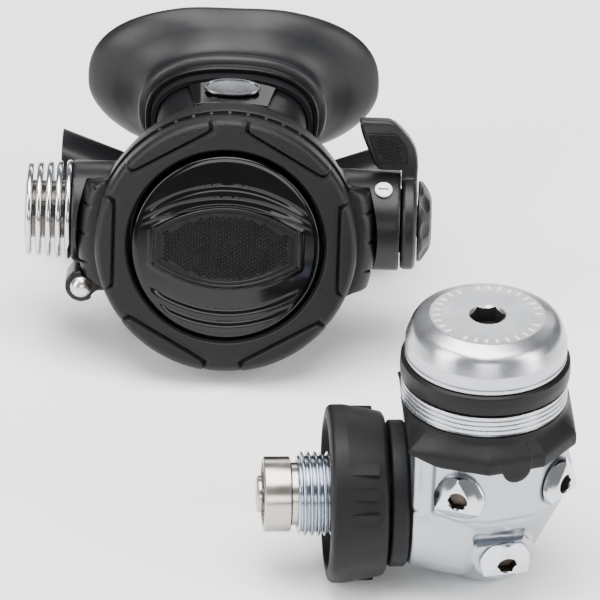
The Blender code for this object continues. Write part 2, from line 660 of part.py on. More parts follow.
def exhaust_group(level):
    """A wide hollow manifold below the tube with an outlet at each wing, and the mushroom valve inside it."""
    def sections(grow, reach, count):
        rings = []
        for i in range(count):
            x = reach * (2 * i / (count - 1) - 1)
            out = abs(x) / wing_reach
            back, high = 57 + 5 * out, -29.8 + 14 * out
            half_back, half_high = 10.6 - 1.2 * out + grow, 11.1 + 3.5 * out + grow
            rings.append([(x, back + y, high + z) for y, z in oval(half_back, half_high, 3.2, 20)])
        return rings
    tee = loft("exhaust_tee", sections(0, wing_reach, 9), level, plastic)
    cut(tee, loft("tee_hollow", sections(-1.8, wing_reach + 4, 9), level))
    cut(tee, rod("tee_inlet", 8.95, 40, 54, level, sides=32, at=(0, 0, -29.5), rotation=(-90, 0, 0)))
    turned("exhaust_valve", [(0, 49.7), (7.9, 49.7), (7.9, 49.0), (0, 49.0)], level, silicone, closed=False,
           steps=24, at=(0, 0, -29.5), rotation=(-90, 0, 0))


def second_stage():
    level = frame("second_stage_level", second_stage_at, (0, 0, 0))
    face = frame("second_stage_face", (0, 0, 0), (second_stage_tilt, 0, 0), level)
    front_cover(face)
    retaining_ring(face)
    purge_group(face)
    axis = demand_group(face)
    knob_group(axis)
    aim = case_group(face)
    tube_trim(aim)
    mouthpiece(aim)
    exhaust_group(level)
    marker = math.radians(51)
    out = barrel_radius + gap
    rod("marker_disc", 2.45, 0, 0.7, face, white, sides=20, rotation=(90 - 51, 0, 0),
        at=(43.8, barrel_back - out * math.cos(marker), barrel_up + out * math.sin(marker)))


second_stage()
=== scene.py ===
import json
import math

import bmesh
import bpy
from mathutils import Matrix, Vector


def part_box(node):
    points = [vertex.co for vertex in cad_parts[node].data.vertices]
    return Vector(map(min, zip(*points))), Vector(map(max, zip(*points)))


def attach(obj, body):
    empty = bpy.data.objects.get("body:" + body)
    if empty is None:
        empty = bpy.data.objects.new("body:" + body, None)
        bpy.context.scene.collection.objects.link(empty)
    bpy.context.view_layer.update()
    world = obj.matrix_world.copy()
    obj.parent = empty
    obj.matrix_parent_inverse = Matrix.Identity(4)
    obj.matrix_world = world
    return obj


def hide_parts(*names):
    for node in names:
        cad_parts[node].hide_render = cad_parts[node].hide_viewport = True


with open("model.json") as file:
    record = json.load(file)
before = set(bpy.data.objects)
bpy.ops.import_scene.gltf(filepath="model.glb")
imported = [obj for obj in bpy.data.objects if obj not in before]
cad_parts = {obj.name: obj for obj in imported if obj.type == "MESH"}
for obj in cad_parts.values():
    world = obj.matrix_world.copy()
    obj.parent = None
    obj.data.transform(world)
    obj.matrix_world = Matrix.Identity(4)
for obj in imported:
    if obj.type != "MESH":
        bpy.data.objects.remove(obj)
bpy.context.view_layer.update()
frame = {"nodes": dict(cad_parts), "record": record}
print("frame loaded")

mm = 0.001
jointOf = {joint["name"]: joint for joint in frame["record"]["behaviour"]["joints"]}


def middle(node):
    low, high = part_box(node)
    return (Vector(low) + Vector(high)) / 2


def turnAbout(axis, degrees):
    return Matrix.Rotation(math.radians(degrees), 4, axis)


# each stage's own frame, in millimetres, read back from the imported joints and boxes
wheelAxis = Vector(jointOf["din_wheel_spin"]["axis"])
turnFirst = math.atan2(-wheelAxis.y, -wheelAxis.x)
firstPlace = Vector((middle("spring_cap").x, middle("spring_cap").y, middle("din_handwheel").z))
firstFrame = Matrix.Translation(firstPlace) @ Matrix.Rotation(turnFirst, 4, "Z") @ Matrix.Scale(mm, 4)

pressAxis = Vector(jointOf["purge_press"]["axis"])
tilt = math.atan2(pressAxis.z, pressAxis.y)
barrel = {"back": 22.0, "up": 3.0}
knobPlace = Vector(jointOf["adjust_knob_turn"]["pos_m"])
tilted = Matrix.Rotation(tilt, 4, "X")
facePlace = knobPlace - tilted @ Vector((0, barrel["back"], barrel["up"])) * mm
facePlace.x = middle("front_cover").x
faceFrame = Matrix.Translation(facePlace) @ tilted @ Matrix.Scale(mm, 4)
levelFrame = Matrix.Translation(facePlace) @ Matrix.Scale(mm, 4)
aimFrame = faceFrame @ turnAbout("X", 19.0)
upright = turnAbout("X", 90)
buttonFrame = faceFrame @ upright                       # +Z towards the diver's front
barrelFrame = faceFrame @ Matrix.Translation((0, barrel["back"], barrel["up"])) @ turnAbout("Y", 90)
connectorFrame = firstFrame @ turnAbout("Y", -90)


camera = {"lens": 450.0, "sensor": 36.0, "rise": 31.0, "roll": 1.9, "span": 162.2, "left": 50.1, "above": 50.3}


def placeCamera():
    rise = math.radians(camera["rise"])
    up = Vector((0, math.sin(rise), math.cos(rise)))
    back = Vector((0, -math.cos(rise), math.sin(rise)))
    aim = firstPlace + Vector((-camera["left"], 0, 0)) * mm + up * camera["above"] * mm
    distance = camera["span"] * mm * camera["lens"] / camera["sensor"]
    data = bpy.data.cameras.new("camera")
    data.lens = camera["lens"]
    data.sensor_width = camera["sensor"]
    data.clip_end = 20
    eye = bpy.data.objects.new("camera", data)
    bpy.context.scene.collection.objects.link(eye)
    turn = Matrix.Rotation(math.radians(90) - rise, 4, "X") @ turnAbout("Z", camera["roll"])
    eye.matrix_world = Matrix.Translation(aim + back * distance) @ turn
    bpy.context.scene.camera = eye


lamps = {
    "overhead": {"at": (-0.1, -0.1, 1.3), "look": (0, 0, 0), "size": (1.3, 1.0), "power": 44},
    "leftStrip": {"at": (-1.1, -0.7, 0.7), "look": (0, 0, 0.03), "size": (0.5, 1.2), "power": 22},
    "rightStrip": {"at": (1.1, -0.5, 0.6), "look": (0, 0, 0.03), "size": (0.4, 1.2), "power": 16},
    "frontFill": {"at": (0.1, -1.6, 0.5), "look": (0, 0, 0.03), "size": (0.7, 0.5), "power": 6},
    "rearRim": {"at": (0.2, 1.3, 0.8), "look": (0, 0, 0.03), "size": (1.2, 0.4), "power": 5},
}


def placeLamps():
    for name, spec in lamps.items():
        data = bpy.data.lights.new(name, "AREA")
        data.shape = "RECTANGLE"
        data.size, data.size_y = spec["size"]
        data.energy = spec["power"]
        lamp = bpy.data.objects.new(name, data)
        bpy.context.scene.collection.objects.link(lamp)
        lamp.location = spec["at"]
        lamp.rotation_euler = (Vector(spec["look"]) - Vector(spec["at"])).to_track_quat("-Z", "Y").to_euler()
    world = bpy.data.worlds.new("studio")
    world.use_nodes = True
    world.node_tree.nodes["Background"].inputs["Color"].default_value = (1, 1, 1, 1)
    world.node_tree.nodes["Background"].inputs["Strength"].default_value = 0.32
    bpy.context.scene.world = world


def placeFloor():
    mesh = bpy.data.meshes.new("floor")
    reach = 6.0
    corners = [(-reach, -reach, 0), (reach, -reach, 0), (reach, reach, 0), (-reach, reach, 0)]
    mesh.from_pydata(corners, [], [(0, 1, 2, 3)])
    floor = bpy.data.objects.new("floor", mesh)
    floor.location.z = -0.0004
    bpy.context.scene.collection.objects.link(floor)
    look = bpy.data.materials.new("paleFloor")
    look.use_nodes = True
    shader = look.node_tree.nodes["Principled BSDF"]
    shader.inputs["Base Color"].default_value = (0.93, 0.93, 0.93, 1)
    shader.inputs["Roughness"].default_value = 0.9
    shader.inputs["Specular IOR Level"].default_value = 0.1
    mesh.materials.append(look)


placeCamera()
placeLamps()
placeFloor()
print("camera, lamps and floor set")


def wire(source, output, target, entry):
    source.id_data.links.new(source.outputs[output], target.inputs[entry])


looks = {}


def finish(name, color, metallic=0.0, roughness=0.5, rough2=None, grain=None, mottle=None, brush=None,
           scratch=0.0, gleam=0.5):
    # grain is (scale per metre, bump depth), mottle is (scale, darkest share of the colour),
    # brush is ((x, y, z) stretch, depth) and scratch is a depth
    look = bpy.data.materials.new(name)
    look.use_nodes = True
    nodes, links = look.node_tree.nodes, look.node_tree.links
    shader = nodes["Principled BSDF"]
    shader.inputs["Metallic"].default_value = metallic
    shader.inputs["Coat Weight"].default_value = 0.0
    shader.inputs["Coat Roughness"].default_value = 0.08
    shader.inputs["Sheen Weight"].default_value = 0.0
    shader.inputs["Specular IOR Level"].default_value = gleam
    where = nodes.new("ShaderNodeTexCoord")

    def noise(scale, detail=4.0, stretch=None):
        tex = nodes.new("ShaderNodeTexNoise")
        tex.inputs["Scale"].default_value = scale
        tex.inputs["Detail"].default_value = detail
        source = where.outputs["Object"]
        if stretch:
            squeeze = nodes.new("ShaderNodeMapping")
            squeeze.inputs["Scale"].default_value = stretch
            links.new(source, squeeze.inputs["Vector"])
            source = squeeze.outputs["Vector"]
        links.new(source, tex.inputs["Vector"])
        return tex.outputs["Fac"]

    def spread(source, low, high, start=0.3, end=0.7):
        span = nodes.new("ShaderNodeMapRange")
        for label, value in (("From Min", start), ("From Max", end), ("To Min", low), ("To Max", high)):
            span.inputs[label].default_value = value
        links.new(source, span.inputs["Value"])
        return span.outputs["Result"]

    scale, depth = mottle or (60, 0.85)
    mix = nodes.new("ShaderNodeMix")
    mix.data_type = "RGBA"
    mix.inputs["A"].default_value = (*[channel * depth for channel in color], 1)
    mix.inputs["B"].default_value = (*color, 1)
    links.new(spread(noise(scale), 0.0, 1.0), mix.inputs["Factor"])
    wire(mix, "Result", shader, "Base Color")
    links.new(spread(noise(scale * 2.3 + 40), roughness, rough2 or roughness * 1.25), shader.inputs["Roughness"])
    height = None
    layers = []
    if grain:
        layers.append((noise(grain[0], 3.0), grain[1]))
    if brush:
        layers.append((noise(900, 2.0, brush[0]), brush[1]))
    if scratch:
        layers.append((noise(260, 6.0, (1, 7, 3)), scratch))
    for source, amount in layers:
        bump = nodes.new("ShaderNodeBump")
        bump.inputs["Strength"].default_value = 0.9
        bump.inputs["Distance"].default_value = amount
        links.new(source, bump.inputs["Height"])
        if height:
            links.new(height, bump.inputs["Normal"])
        height = bump.outputs["Normal"]
    if height:
        links.new(height, shader.inputs["Normal"])
    looks[name] = look


finish("satinChrome", (0.5, 0.515, 0.54), 1.0, 0.24, 0.34, grain=(2600, 0.00001), mottle=(45, 0.93))
finish("brushedRing", (0.52, 0.535, 0.56), 1.0, 0.2, 0.3, brush=((0.4, 0.4, 9), 0.000002))
finish("brightChrome", (0.62, 0.64, 0.67), 1.0, 0.09, 0.14, mottle=(80, 0.95), scratch=0.000003)
finish("bodyMetal", (0.42, 0.445, 0.48), 1.0, 0.3, 0.4, grain=(1500, 0.000012), mottle=(55, 0.92))
finish("warmSteel", (0.5, 0.455, 0.41), 1.0, 0.18, 0.26, brush=((14, 0.5, 0.5), 0.000008))
finish("zincThread", (0.46, 0.5, 0.56), 1.0, 0.16, 0.24, mottle=(120, 0.88))
finish("brass", (0.75, 0.56, 0.28), 1.0, 0.25)
finish("springSteel", (0.55, 0.56, 0.58), 1.0, 0.25)
finish("blackRubber", (0.004, 0.0042, 0.0046), 0.0, 0.46, 0.58, grain=(3200, 0.00005), gleam=0.2)
finish("bandRubber", (0.004, 0.004, 0.0045), 0.0, 0.38, 0.46, grain=(2500, 0.00001), gleam=0.2)
finish("mouthRubber", (0.009, 0.0095, 0.0105), 0.0, 0.34, 0.44, grain=(1800, 0.00002), mottle=(30, 0.85),
       gleam=0.26)
finish("grainPlastic", (0.004, 0.0042, 0.0046), 0.0, 0.36, 0.46, grain=(2600, 0.00016), gleam=0.24)
finish("ringPlastic", (0.0045, 0.0047, 0.0052), 0.0, 0.32, 0.42, grain=(2200, 0.00007), gleam=0.24)
finish("satinPlastic", (0.0055, 0.0057, 0.0066), 0.0, 0.3, 0.4, grain=(1900, 0.00004), gleam=0.28)
finish("gloss", (0.0015, 0.0015, 0.0018), 0.0, 0.06, 0.1, gleam=0.32)
finish("badgeBlack", (0.002, 0.002, 0.0023), 0.0, 0.26, 0.34, grain=(1500, 0.00002), gleam=0.28)
finish("smokedChrome", (0.2, 0.205, 0.215), 1.0, 0.2, 0.3, mottle=(300, 0.7))
finish("whiteDot", (0.85, 0.86, 0.86), 0.0, 0.35, 0.42)
finish("coreBrass", (0.34, 0.27, 0.21), 1.0, 0.16, 0.24, brush=((0.4, 0.4, 14), 0.000006))
finish("pinSteel", (0.66, 0.61, 0.57), 1.0, 0.2, 0.28, mottle=(200, 0.9))
finish("socketBrown", (0.09, 0.075, 0.06), 0.9, 0.3, 0.4, mottle=(400, 0.6))
# near-black painted shade for the walls of the cap's deep hex socket
finish("paintedShadeBore", (0.03, 0.028, 0.026), 0.6, 0.4, 0.5)
print("finishes made")


def addPiece(name, bm, look, body, nodes=(), place=None, sharp=38, keepSide=False):
    # the mesh is built in a stage's millimetres and baked to world metres, so the object stays at the origin
    if not keepSide:
        bmesh.ops.recalc_face_normals(bm, faces=bm.faces)
    mesh = bpy.data.meshes.new(name)
    bm.to_mesh(mesh)
    bm.free()
    if place is not None:
        mesh.transform(place)
    mesh.materials.append(looks[look])
    mesh.shade_smooth()
    mesh.set_sharp_from_angle(angle=math.radians(sharp))
    piece = bpy.data.objects.new(name, mesh)
    bpy.context.scene.collection.objects.link(piece)
    rideAlong(piece, body, nodes)
    return piece


def rideAlong(piece, body, nodes=()):
    if body is None:
        return
    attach(piece, body)
    if nodes:
        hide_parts(*nodes)


def circleTurns(steps):
    return [2 * math.pi * i / steps for i in range(steps)]


def polar(radius, turn, height):
    return (radius * math.cos(turn), radius * math.sin(turn), height)


def circleRing(radius, height, steps):
    return [polar(radius, turn, height) for turn in circleTurns(steps)]


def spun(line, turn):
    # a line of (radius, depth) points, turned about the stage's front-to-back axis
    return [(r * math.cos(turn), y, r * math.sin(turn)) for r, y in line]


def rounded(profile, steps=5):
    # corners are (radius, height) or (radius, height, fillet)
    points = []
    count = len(profile)
    for i, corner in enumerate(profile):
        fillet = corner[2] if len(corner) > 2 else 0
        here = Vector(corner[:2])
        if not fillet:
            points.append(here)
            continue
        before = Vector(profile[i - 1][:2]) - here
        after = Vector(profile[(i + 1) % count][:2]) - here
        half = before.angle(after) / 2
        reach = min(fillet / math.tan(half), before.length * 0.49, after.length * 0.49)
        start, end = here + before.normalized() * reach, here + after.normalized() * reach
        for k in range(steps + 1):
            t = k / steps
            points.append(start.lerp(here, t).lerp(here.lerp(end, t), t))
    return points


def lathe(profile, steps=144, closed=True):
    # a closed profile turned about Z; points on the axis close the piece
    bm = bmesh.new()
    points = rounded(profile)
    rows = []
    for point in points:
        if abs(point[0]) < 1e-6:
            rows.append([bm.verts.new((0, 0, point[1]))])
        else:
            rows.append([bm.verts.new(spot) for spot in circleRing(point[0], point[1], steps)])
    for near, far in zip(rows, rows[1:] + rows[:1] if closed else rows[1:]):
        for i in range(steps):
            j = (i + 1) % steps
            corners = [near[i % len(near)], near[j % len(near)], far[j % len(far)], far[i % len(far)]]
            unique = list(dict.fromkeys(corners))
            if len(unique) > 2:
                bm.faces.new(unique)
    return bm


def skin(rings, looped=False):
    # quads between rings of equal counts
    bm = bmesh.new()
    rows = [[bm.verts.new(point) for point in ring] for ring in rings]
    count = len(rows[0])
    for near, far in zip(rows, rows[1:] + rows[:1] if looped else rows[1:]):
        for i in range(count):
            bm.faces.new((near[i], near[(i + 1) % count], far[(i + 1) % count], far[i]))
    if not looped:
        bm.faces.new(rows[0])
        bm.faces.new(rows[-1])
    return bm


def smoothStep(low, high, value):
    t = min(1.0, max(0.0, (value - low) / (high - low)))
    return t * t * (3 - 2 * t)


def settle(piece):
    # bakes every modifier and leaves a plain mesh
    graph = bpy.context.evaluated_depsgraph_get()
    mesh = bpy.data.meshes.new_from_object(piece.evaluated_get(graph))
    piece.modifiers.clear()
    piece.data = mesh
    return piece


def applyBoolean(target, cutters, operation, keepLook=False):
    # keepLook gives the cut faces the cutter's own finish
    for cutter in cutters:
        step = target.modifiers.new("step", "BOOLEAN")
        step.operation = operation
        step.material_mode = "TRANSFER" if keepLook else "INDEX"
        step.object = cutter
    settle(target)
    for cutter in cutters:
        bpy.data.objects.remove(cutter)


def scratchPiece(bm, place, look="gloss"):
    return addPiece("shaping", bm, look, None, place=place)


def cylinder(radius, low, high, radiusHigh=None, sides=96):
    bm = bmesh.new()
    top = radius if radiusHigh is None else radiusHigh
    bmesh.ops.create_cone(bm, cap_ends=True, segments=sides, radius1=radius, radius2=top, depth=high - low,
                          matrix=Matrix.Translation((0, 0, (low + high) / 2)))
    return bm


def prism(outline, low, high):
    return skin([[(x, y, z) for x, y in outline] for z in (low, high)])


def block(low, high):
    bm = bmesh.new()
    size = [b - a for a, b in zip(low, high)]
    centre = [(a + b) / 2 for a, b in zip(low, high)]
    bmesh.ops.create_cube(bm, size=1, matrix=Matrix.Translation(centre) @ Matrix.Diagonal((*size, 1)))
    return bm


def hexagon(radius, start=0):
    return [(radius * math.cos(math.radians(60 * i + start)), radius * math.sin(math.radians(60 * i + start)))
            for i in range(6)]


def oval(halfWidth, halfHeight, power=2.4, count=96):
    points = []
    for turn in circleTurns(count):
        c, s = math.cos(turn), math.sin(turn)
        points.append((halfWidth * math.copysign(abs(c) ** (2 / power), c),
                       halfHeight * math.copysign(abs(s) ** (2 / power), s)))
    return points


def merged(parts):
    # joins (bmesh, place) pairs into one, each with its faces outward first
    whole = bmesh.new()
    for bm, place in parts:
        if place is not None:
            bmesh.ops.transform(bm, matrix=place, verts=bm.verts)
        bmesh.ops.recalc_face_normals(bm, faces=bm.faces)
        mesh = bpy.data.meshes.new("part")
        bm.to_mesh(mesh)
        bm.free()
        whole.from_mesh(mesh)
        bpy.data.meshes.remove(mesh)
    return whole


def crease(piece, degrees):
    piece.data.set_sharp_from_angle(angle=math.radians(degrees))


def bevelEdges(piece, width, degrees):
    edge = piece.modifiers.new("edge", "BEVEL")
    edge.width = width * mm
    edge.segments = 2
    edge.limit_method = "ANGLE"
    edge.angle_limit = math.radians(degrees)
    settle(piece)


def knurlStud(foot, footHeight, top, topHeight):
    # a pyramid on a diamond, cut off at its top; foot and top are half widths
    bm = bmesh.new()
    rings = []
    for (x, y), height in ((top, topHeight), (foot, footHeight)):
        rings.append([bm.verts.new((*corner, height)) for corner in ((x, 0), (0, y), (-x, 0), (0, -y))])
    tops, feet = rings
    bm.faces.new(tops)
    bm.faces.new(feet[::-1])
    for i in range(4):
        bm.faces.new((feet[i], feet[(i + 1) % 4], tops[(i + 1) % 4], tops[i]))
    return bm


def soften(piece, voxel, rounds, factor=0.5):
    # voxel remesh then smoothing, for cast and moulded fillets
    remesh = piece.modifiers.new("voxel", "REMESH")
    remesh.mode = "VOXEL"
    remesh.voxel_size = voxel * mm
    ease = piece.modifiers.new("ease", "SMOOTH")
    ease.factor = factor
    ease.iterations = rounds
    settle(piece)
    piece.data.shade_smooth()
    return piece


def repeatTree(name, layout, look):
    # stamps the mesh it is given along a line, a circle or a grid; sizes are named inputs
    tree = bpy.data.node_groups.new(name, "GeometryNodeTree")
    face = tree.interface
    face.new_socket("Geometry", in_out="INPUT", socket_type="NodeSocketGeometry")
    for label, kind in (("Count", "Int"), ("Rows", "Int"), ("Pitch", "Float"), ("Row Pitch", "Float"),
                        ("Grow", "Float")):
        face.new_socket(label, in_out="INPUT", socket_type="NodeSocket" + kind)
    face.new_socket("Geometry", in_out="OUTPUT", socket_type="NodeSocketGeometry")
    add = tree.nodes.new
    start, end = add("NodeGroupInput"), add("NodeGroupOutput")
    stamp = add("GeometryNodeInstanceOnPoints")
    wire(start, "Geometry", stamp, "Instance")
    points = add("GeometryNodeMeshGrid" if layout == "grid" else "GeometryNodeMeshLine")
    if layout == "grid":
        for label, entry in (("Count", "Vertices X"), ("Rows", "Vertices Y"), ("Pitch", "Size X"),
                             ("Row Pitch", "Size Y")):
            wire(start, label, points, entry)
    else:
        # each copy moves along Z and grows, or turns about Z
        wire(start, "Count", points, "Count")
        order, factor, change = add("GeometryNodeInputIndex"), add("ShaderNodeMath"), add("ShaderNodeCombineXYZ")
        wire(order, "Index", factor, 0)
        if layout == "line":
            step = add("ShaderNodeCombineXYZ")
            wire(start, "Pitch", step, "Z")
            wire(step, "Vector", points, "Offset")
            factor.operation = "MULTIPLY_ADD"
            factor.inputs[2].default_value = 1.0
            wire(start, "Grow", factor, 1)
            change.inputs["Z"].default_value = 1.0
            wire(factor, "Value", change, "X")
            wire(factor, "Value", change, "Y")
            wire(change, "Vector", stamp, "Scale")
        else:
            points.inputs["Offset"].default_value = (0, 0, 0)
            factor.operation = "MULTIPLY"
            wire(start, "Pitch", factor, 1)
            wire(factor, "Value", change, "Z")
            wire(change, "Vector", stamp, "Rotation")
    wire(points, "Mesh", stamp, "Points")
    real, paint = add("GeometryNodeRealizeInstances"), add("GeometryNodeSetMaterial")
    paint.inputs["Material"].default_value = looks[look]
    wire(stamp, "Instances", real, "Geometry")
    wire(real, "Geometry", paint, "Geometry")
    wire(paint, "Geometry", end, "Geometry")
    return tree


def repeated(name, bm, layout, look, values):
    # returns the repeated mesh as a bmesh, in the same millimetres
    tree = repeatTree(name + "Tree", layout, look)
    seed = scratchPiece(bm, None)
    step = seed.modifiers.new("repeat", "NODES")
    step.node_group = tree
    for item in tree.interface.items_tree:
        if item.item_type == "SOCKET" and item.in_out == "INPUT" and item.name in values:
            step[item.identifier] = values[item.name]
    settle(seed)
    out = bmesh.new()
    out.from_mesh(seed.data)
    bpy.data.objects.remove(seed)
    return out


portBlock = {
    "facets": {0: 22.6, 40: 24.5, 74: 24.5, 108: 24.5, 180: 20.0, 252: 24.5, 286: 24.5, 320: 24.5},
    "low": 6.2, "high": 24.4, "portHeight": 13.7, "lowPorts": (-108, -40, 40, 108),
    "hpBase": (5.6, -19.1, -8.7), "hpAzimuth": -80, "hpDip": 13, "bossRadius": 8.3, "hpBoss": (8.8, 8.5),
    "foot": ((6.6, -24.15, 1.5), (9.6, -22.3, 1.5), (13.4, -17, 1.2), (17.6, -8, 0.8)),
}


def blockReach(turn, grow=0.0):
    found = 99.0
    for azimuth, distance in portBlock["facets"].items():
        lean = math.cos(turn - math.radians(azimuth))
        if lean > 0.1:
            found = min(found, (distance + grow) / lean)
    return found


def outward(at, azimuth, dip=0.0):
    # a frame whose Z points outward along an azimuth
    return Matrix.Translation(at) @ turnAbout("Z", azimuth) @ turnAbout("Y", 90 + dip)


def portFrames():
    places = []
    for azimuth in portBlock["lowPorts"]:
        turn = math.radians(azimuth)
        places.append(outward((24.5 * math.cos(turn), 24.5 * math.sin(turn), portBlock["portHeight"]), azimuth))
    x, y, z = portBlock["hpBase"]
    for side in (1, -1):
        places.append(outward((x, y * side, z), portBlock["hpAzimuth"] * side, portBlock["hpDip"]))
    return places


def ringAt(radiusOf, height, shift=0.0, count=192):
    return [(radiusOf(turn) * math.cos(turn) + shift, radiusOf(turn) * math.sin(turn), height)
            for turn in circleTurns(count)]


def makeBody():
    ports = portFrames()
    low, high = portBlock["low"], portBlock["high"]
    facetBlock = skin([ringAt(lambda t: blockReach(t, -0.5), low), ringAt(blockReach, low + 0.8),
                       ringAt(blockReach, high - 0.4), ringAt(lambda t: blockReach(t, -0.6), high)])
    foot = [ringAt(lambda t, r=radius: r, height, shift) for radius, height, shift in portBlock["foot"]]
    foot += [ringAt(lambda t: blockReach(t, -2.6) * 0.5 + 10.3, 0.0, 0.5),
             ringAt(lambda t: blockReach(t, -1.1), 4.6), ringAt(lambda t: blockReach(t, -1.0), 8.0)]
    neck = lathe([(0, -3), (16, -3), (20.3, 0.5, 1), (22.3, 5, 4), (21.6, 10, 6), (19.2, 19.7), (0, 19.7)],
                 closed=False)
    lumps = [(facetBlock, None), (skin(foot), None), (neck, turnAbout("Y", -90)), (cylinder(21.3, 23, 31.1), None)]
    lumps += [(cylinder(portBlock["bossRadius"], -6, 0.0), place) for place in ports[:4]]
    near, far = portBlock["hpBoss"]
    lumps += [(cylinder(near, -14, 0.0, far), place) for place in ports[4:]]
    body = addPiece("firstStageBody", merged(lumps), "bodyMetal", None, place=firstFrame, keepSide=True)
    soften(body, 0.5, 2)
    cuts = []
    for side in (1, -1):
        cuts.append(scratchPiece(cylinder(3.0, 5, 25.5), firstFrame @ Matrix.Translation((-16.9, -22.2 * side, 0))))
        pocket = Matrix.Translation((3.2, -20.6 * side, -1.6)) @ turnAbout("Y", -5)
        cuts.append(scratchPiece(block((-6.2, -3.2, -1.9), (7.2, 3.2, 1.9)), firstFrame @ pocket))
    applyBoolean(body, cuts, "DIFFERENCE")
    soften(body, 0.42, 6)
    rideAlong(body, "first_stage", ["first_stage_body"])


def makePlugs():
    names = ("low_plug_front", "low_plug_right", "low_plug_rear_right", "low_plug_rear", "high_plug_front",
             "high_plug_rear")
    flat = {"at": (3.1, 3.3), "slope": (0.62, 0.78)}
    for name, place in zip(names, portFrames()):
        bm = lathe([(0, 3.3), (6.6, 3.3), (6.85, 3.1), (6.85, 0.75, 0.1), (6.3, 0.3), (0, 0.3)], closed=False)
        for i in range(3):
            turn = math.radians(120 * i)
            slope = Vector(polar(flat["slope"][0], turn, flat["slope"][1])).normalized()
            edge = Vector(polar(flat["at"][0], turn, flat["at"][1]))
            made = bmesh.ops.bisect_plane(bm, geom=bm.verts[:] + bm.edges[:] + bm.faces[:], plane_co=edge,
                                          plane_no=slope, clear_outer=True)
            rim = [item for item in made["geom_cut"] if isinstance(item, bmesh.types.BMEdge)]
            bmesh.ops.edgenet_fill(bm, edges=rim)
        bmesh.ops.dissolve_limit(bm, angle_limit=math.radians(1), verts=bm.verts, edges=bm.edges)
        plug = addPiece(name.title().replace("_", ""), bm, "brightChrome", None, place=firstFrame @ place)
        socket = scratchPiece(prism(hexagon(2.75, 30), 0.6, 5), firstFrame @ place, "socketBrown")
        mouth = scratchPiece(cylinder(2.4, 2.95, 3.6, 3.1, 48), firstFrame @ place, "brightChrome")
        applyBoolean(plug, [socket, mouth], "DIFFERENCE", True)
        bevelEdges(plug, 0.12, 14)
        plug.data.shade_smooth()
        crease(plug, 30)
        rideAlong(plug, "first_stage", [name])


def makeCapGroup():
    cap = addPiece("springCap", lathe([
        (0, 56.1), (15.4, 56.1, 1.2), (19.9, 54.3, 5.0), (21.7, 49.0, 3.0), (21.7, 45.8, 0.1), (21.25, 45.65),
        (21.25, 45.25), (21.7, 45.1, 0.1), (21.7, 44.1, 0.2), (20.1, 44.1), (20.1, 37.8), (18.2, 37.8), (18.2, 33.2),
        (12.3, 33.2), (12.3, 49.0), (0, 49.0)], steps=192, closed=False), "satinChrome", None, place=firstFrame)
    # the hex socket's walls take the near-black finish, painted shade for the deep recess
    cuts = [scratchPiece(prism(hexagon(4.95), 51.4, 58), firstFrame, "paintedShadeBore"),
            scratchPiece(cylinder(4.35, 55.5, 56.2, 5.1), firstFrame, "satinChrome")]
    applyBoolean(cap, cuts, "DIFFERENCE", True)
    crease(cap, 30)
    rideAlong(cap, "first_stage", ["spring_cap"])
    addPiece("bumperBand", lathe([
        (21.9, 43.8, 0.3), (22.75, 43.2, 0.6), (22.9, 40.8, 1.0), (22.75, 38.4, 0.6), (21.9, 37.8, 0.3), (20.4, 37.8),
        (20.4, 43.8)], steps=192), "bandRubber", "first_stage", ["rubber_bumper_band"], firstFrame)
    profile = [(21.9, 37.5, 0.2)]
    for groove in range(4):
        top = 37.3 - 1.42 * groove
        profile += [(22.4, top, 0.15), (22.4, top - 0.9, 0.2), (21.95, top - 1.05), (21.95, top - 1.3)]
    profile += [(22.4, 31.75, 0.1), (22.1, 31.4), (18.5, 31.4), (18.5, 37.5)]
    addPiece("clampRing", lathe(profile, steps=192), "brushedRing", "first_stage", ["diaphragm_clamp_ring"],
             firstFrame)
    mark = block((12.7, -0.42, 56.02), (14.7, 0.42, 56.14))
    ticks = repeated("capTicks", mark, "circle", "brightChrome", {"Count": 30, "Pitch": math.radians(12)})
    gaps = [vert for vert in ticks.verts if (math.degrees(math.atan2(vert.co.y, vert.co.x)) + 4) % 120 > 104]
    bmesh.ops.delete(ticks, geom=gaps, context="VERTS")
    addPiece("capTicks", ticks, "brightChrome", "first_stage", place=firstFrame)


def makeGuard():
    settings = {"count": 720, "collar": 22.3, "low": 22.2, "tongueLow": 18.9, "tongueHalf": 4.0, "tongueAt": -74.0,
                "tongueRadius": 26.1, "top": 31.1, "rows": 12, "wall": 1.4}
    rings = []
    half = settings["tongueHalf"]
    for turn in circleTurns(settings["count"]):
        degrees = (math.degrees(turn) + 180) % 360 - 180
        fromTongue = degrees - settings["tongueAt"]
        across = settings["tongueRadius"] * math.tan(math.radians(fromTongue)) if abs(fromTongue) < 40 else 99
        fromNeck = abs(abs(degrees) - 180)
        low = settings["low"] + 3.4 * smoothStep(62, 36, fromNeck)
        if abs(across) < half:
            low = settings["tongueLow"] + half - math.sqrt(half * half - across * across)
        strip = 0.22 * smoothStep(half + 0.15, half - 0.15, abs(across))
        out, inn = [], []
        for k in range(settings["rows"] + 1):
            z = low + (settings["top"] - low) * k / settings["rows"]
            blend = 1 - smoothStep(25.4, 30.4, z)
            radius = settings["collar"] + (blockReach(turn, 1.6) - settings["collar"]) * blend + strip
            if k == 0:
                radius -= 0.35
            out.append(polar(radius, turn, z))
            thin = max(21.75, radius - settings["wall"])
            if z < 24.8:
                thin = max(thin, blockReach(turn, 0.25))
            inn.append(polar(min(thin, radius - 0.3), turn, z))
        rings.append(out + inn[::-1])
    addPiece("bodyGuard", skin(rings, looped=True), "blackRubber", "first_stage", ["rubber_body_guard"],
             firstFrame, sharp=50)


